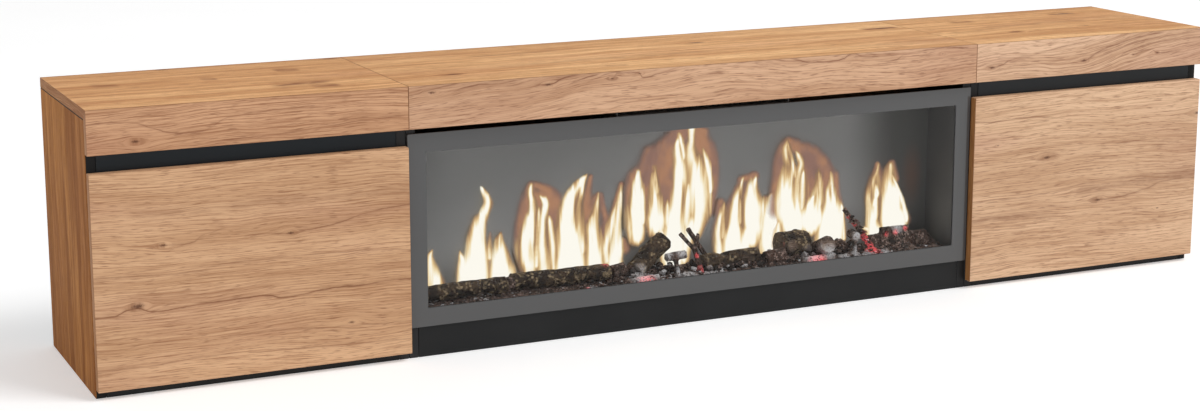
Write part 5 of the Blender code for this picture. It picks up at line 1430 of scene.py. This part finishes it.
def flameSheet(name, tongues, hazes, material, gap):
    look = flameLook
    everything = [spot for stroke in tongues + hazes for spot in stroke]
    low = [min(spot[k] - spot[2] for spot in everything) - look["margin"] for k in (0, 1)]
    high = [max(spot[k] + spot[2] for spot in everything) + look["margin"] for k in (0, 1)]
    high[1] = min(high[1], look["ceiling"])
    width, height = ((b - a) * mm for a, b in zip(low, high))
    deselectAll()
    columns, rows = round(width / look["cell"]), round(height / look["cell"])
    bpy.ops.mesh.primitive_grid_add(x_subdivisions=columns, y_subdivisions=rows, size=1)
    sheet = bpy.context.object
    sheet.scale = (width, height, 1)
    sheet.rotation_euler = (math.radians(90), 0, 0)
    sheet.location = ((low[0] + high[0]) / 2 * mm, screenFront - gap, (low[1] + high[1]) / 2 * mm)
    applyPlace(sheet)
    places = numpy.empty(len(sheet.data.vertices) * 3)
    sheet.data.vertices.foreach_get("co", places)
    x, z = places[0::3] / mm, places[2::3] / mm
    core = inward(tongues, x, z)
    haze = inward(hazes, x, z, look["blend"]) if hazes else numpy.full(len(x), farOutside)
    storePoints(sheet, "core", core)
    storePoints(sheet, "haze", haze)
    storePoints(sheet, "rise", (z - low[1]) / (high[1] - low[1]))
    makeActive(sheet)
    bpy.ops.object.mode_set(mode="EDIT")
    bpy.ops.mesh.select_all(action="DESELECT")
    bpy.ops.object.mode_set(mode="OBJECT")
    sheet.data.vertices.foreach_set("select", numpy.maximum(core, haze) < look["reach"])
    bpy.ops.object.mode_set(mode="EDIT")
    bpy.ops.mesh.select_mode(type="VERT")
    bpy.ops.mesh.delete(type="VERT")
    bpy.ops.object.mode_set(mode="OBJECT")
    solid = sheet.modifiers.new("thickness", "SOLIDIFY")
    solid.thickness = look["thickness"]
    solid.offset = 0
    applyModifiers(sheet)
    settle(sheet, name, material, smooth=40)


def flameFinish():
    look = flameLook
    flame = Finish("flame_light")
    layers = ("core", "haze", "rise")
    core, haze, rise = (flame.add("Attribute", "Fac", attribute_name=layer) for layer in layers)
    lick = flame.minus(flame.noise(flame.scaled((85, 1, 14)), roughness=0.55, distortion=0.6), 0.5)
    streak = flame.minus(flame.noise(flame.scaled((64, 1, 7)), detail=2.0, distortion=0.5), 0.48)
    streak = flame.times(streak, flame.fade(rise, 0.05, 0.60, *look["streaks"]))
    edge = flame.maths("MULTIPLY_ADD", lick, look["lickSize"], core)
    hot = flame.plus(edge, streak)
    warm = flame.maths("MULTIPLY_ADD", lick, look["lickSize"], haze)
    drift = flame.noise(flame.scaled((22, 1, 15)), roughness=0.6)
    colour = flame.mix(flame.fade(drift, 0.40, 0.66), look["haze"], look["plum"])
    colour = flame.mix(flame.fade(warm, -3.0, 5.0, 0.9, 0.0), colour, look["plum"])
    # From the outline inwards, by depth in millimetres
    for depth, start, end, tone in (
            (edge, -6.0, -1.0, "rust"), (hot, -3.0, 2.0, "tan"), (hot, 0.5, 6.0, "pale"),
            (hot, 3.0, 8.0, "cream"), (hot, 5.6, 11.0, "core")):
        colour = flame.mix(flame.fade(depth, start, end), colour, look[tone])
    solid = flame.fade(edge, -3.5, 5.5, 0.0, look["opaque"])
    misty = flame.fade(warm, -7.0, 10.0, 0.0, look["misty"])
    flame.feed(flame.shader.inputs["Emission Color"], colour)
    flame.feed(flame.shader.inputs["Alpha"], flame.most(solid, misty))
    return flame.out((0, 0, 0, 1), 1.0, Emission_Strength=look["strength"], Specular_IOR_Level=0.0)


flameMaterial = flameFinish()
for index, (name, tongues) in enumerate(flameTongues.items()):
    gap = flameLook["gaps"][index % 2]
    flameSheet(name + "_flame", tongues, flameHazes.get(name, []), flameMaterial, gap)
print("flames done")


# Floor, light and camera

floorLook = {
    "size": 60, "drop": 0.2 * mm, "pale": (0.86, 0.86, 0.86), "white": (0.89, 0.89, 0.89),
    "roughness": (0.6, 0.7), "lift": 0.35, "gloss": 0.1,
}
softBox = {
    "place": (7.2, -7.2, 12.7), "aim": (0, 0, 0.2), "size": 7.5, "power": 1310, "colour": (1.0, 1.0, 1.0),
}
skyLook = {"colour": (1.0, 1.0, 1.0, 1.0), "light": 0.5, "backdrop": 1.0}
view = {
    "place": (-1.71404, -3.38761, 1.02306), "pitch": 78.639, "yaw": -25.119,
    "lens": 65.587, "sensor": 36, "shift": -0.04,
}


def floorFinish():
    look = floorLook
    floor = Finish("pale_floor")
    cloud = floor.noise(floor.place, scale=1.2)
    colour = floor.mix(cloud, look["pale"], look["white"])
    floor.feed(floor.shader.inputs["Emission Color"], (1.0, 1.0, 1.0, 1.0))
    rough = floor.fade(cloud, 0.3, 0.7, *look["roughness"])
    return floor.out(colour, rough, Emission_Strength=look["lift"], Specular_IOR_Level=look["gloss"])


deselectAll()
bpy.ops.mesh.primitive_plane_add(size=floorLook["size"], location=(0, 0, -floorLook["drop"]))
floor = bpy.context.object
floor.name = "floor"
floor.data.materials.append(floorFinish())

bpy.ops.object.light_add(type="AREA", location=softBox["place"])
lamp = bpy.context.object
lamp.name = "key_soft_box"
lamp.data.size = softBox["size"]
lamp.data.energy = softBox["power"]
lamp.data.color = softBox["colour"]
aim = Vector(softBox["aim"]) - Vector(softBox["place"])
lamp.rotation_euler = aim.to_track_quat("-Z", "Y").to_euler()

world = bpy.data.worlds.new("studio")
bpy.context.scene.world = world
world.use_nodes = True
sky = world.node_tree.nodes["Background"]
sky.inputs["Color"].default_value = skyLook["colour"]
rays = world.node_tree.nodes.new("ShaderNodeLightPath")
level = world.node_tree.nodes.new("ShaderNodeMapRange")  # plain white behind the stand, softer as light
level.inputs["To Min"].default_value = skyLook["light"]
level.inputs["To Max"].default_value = skyLook["backdrop"]
world.node_tree.links.new(rays.outputs["Is Camera Ray"], level.inputs["Value"])
world.node_tree.links.new(level.outputs[0], sky.inputs["Strength"])
bpy.context.scene.view_settings.view_transform = "Standard"

bpy.ops.object.camera_add(location=view["place"])
camera = bpy.context.object
camera.name = "photograph_view"
camera.rotation_euler = (math.radians(view["pitch"]), 0, math.radians(view["yaw"]))
camera.data.lens = view["lens"]
camera.data.sensor_width = view["sensor"]
camera.data.shift_y = view["shift"]
camera.data.dof.use_dof = False
bpy.context.scene.camera = camera
print("floor, light and camera done")
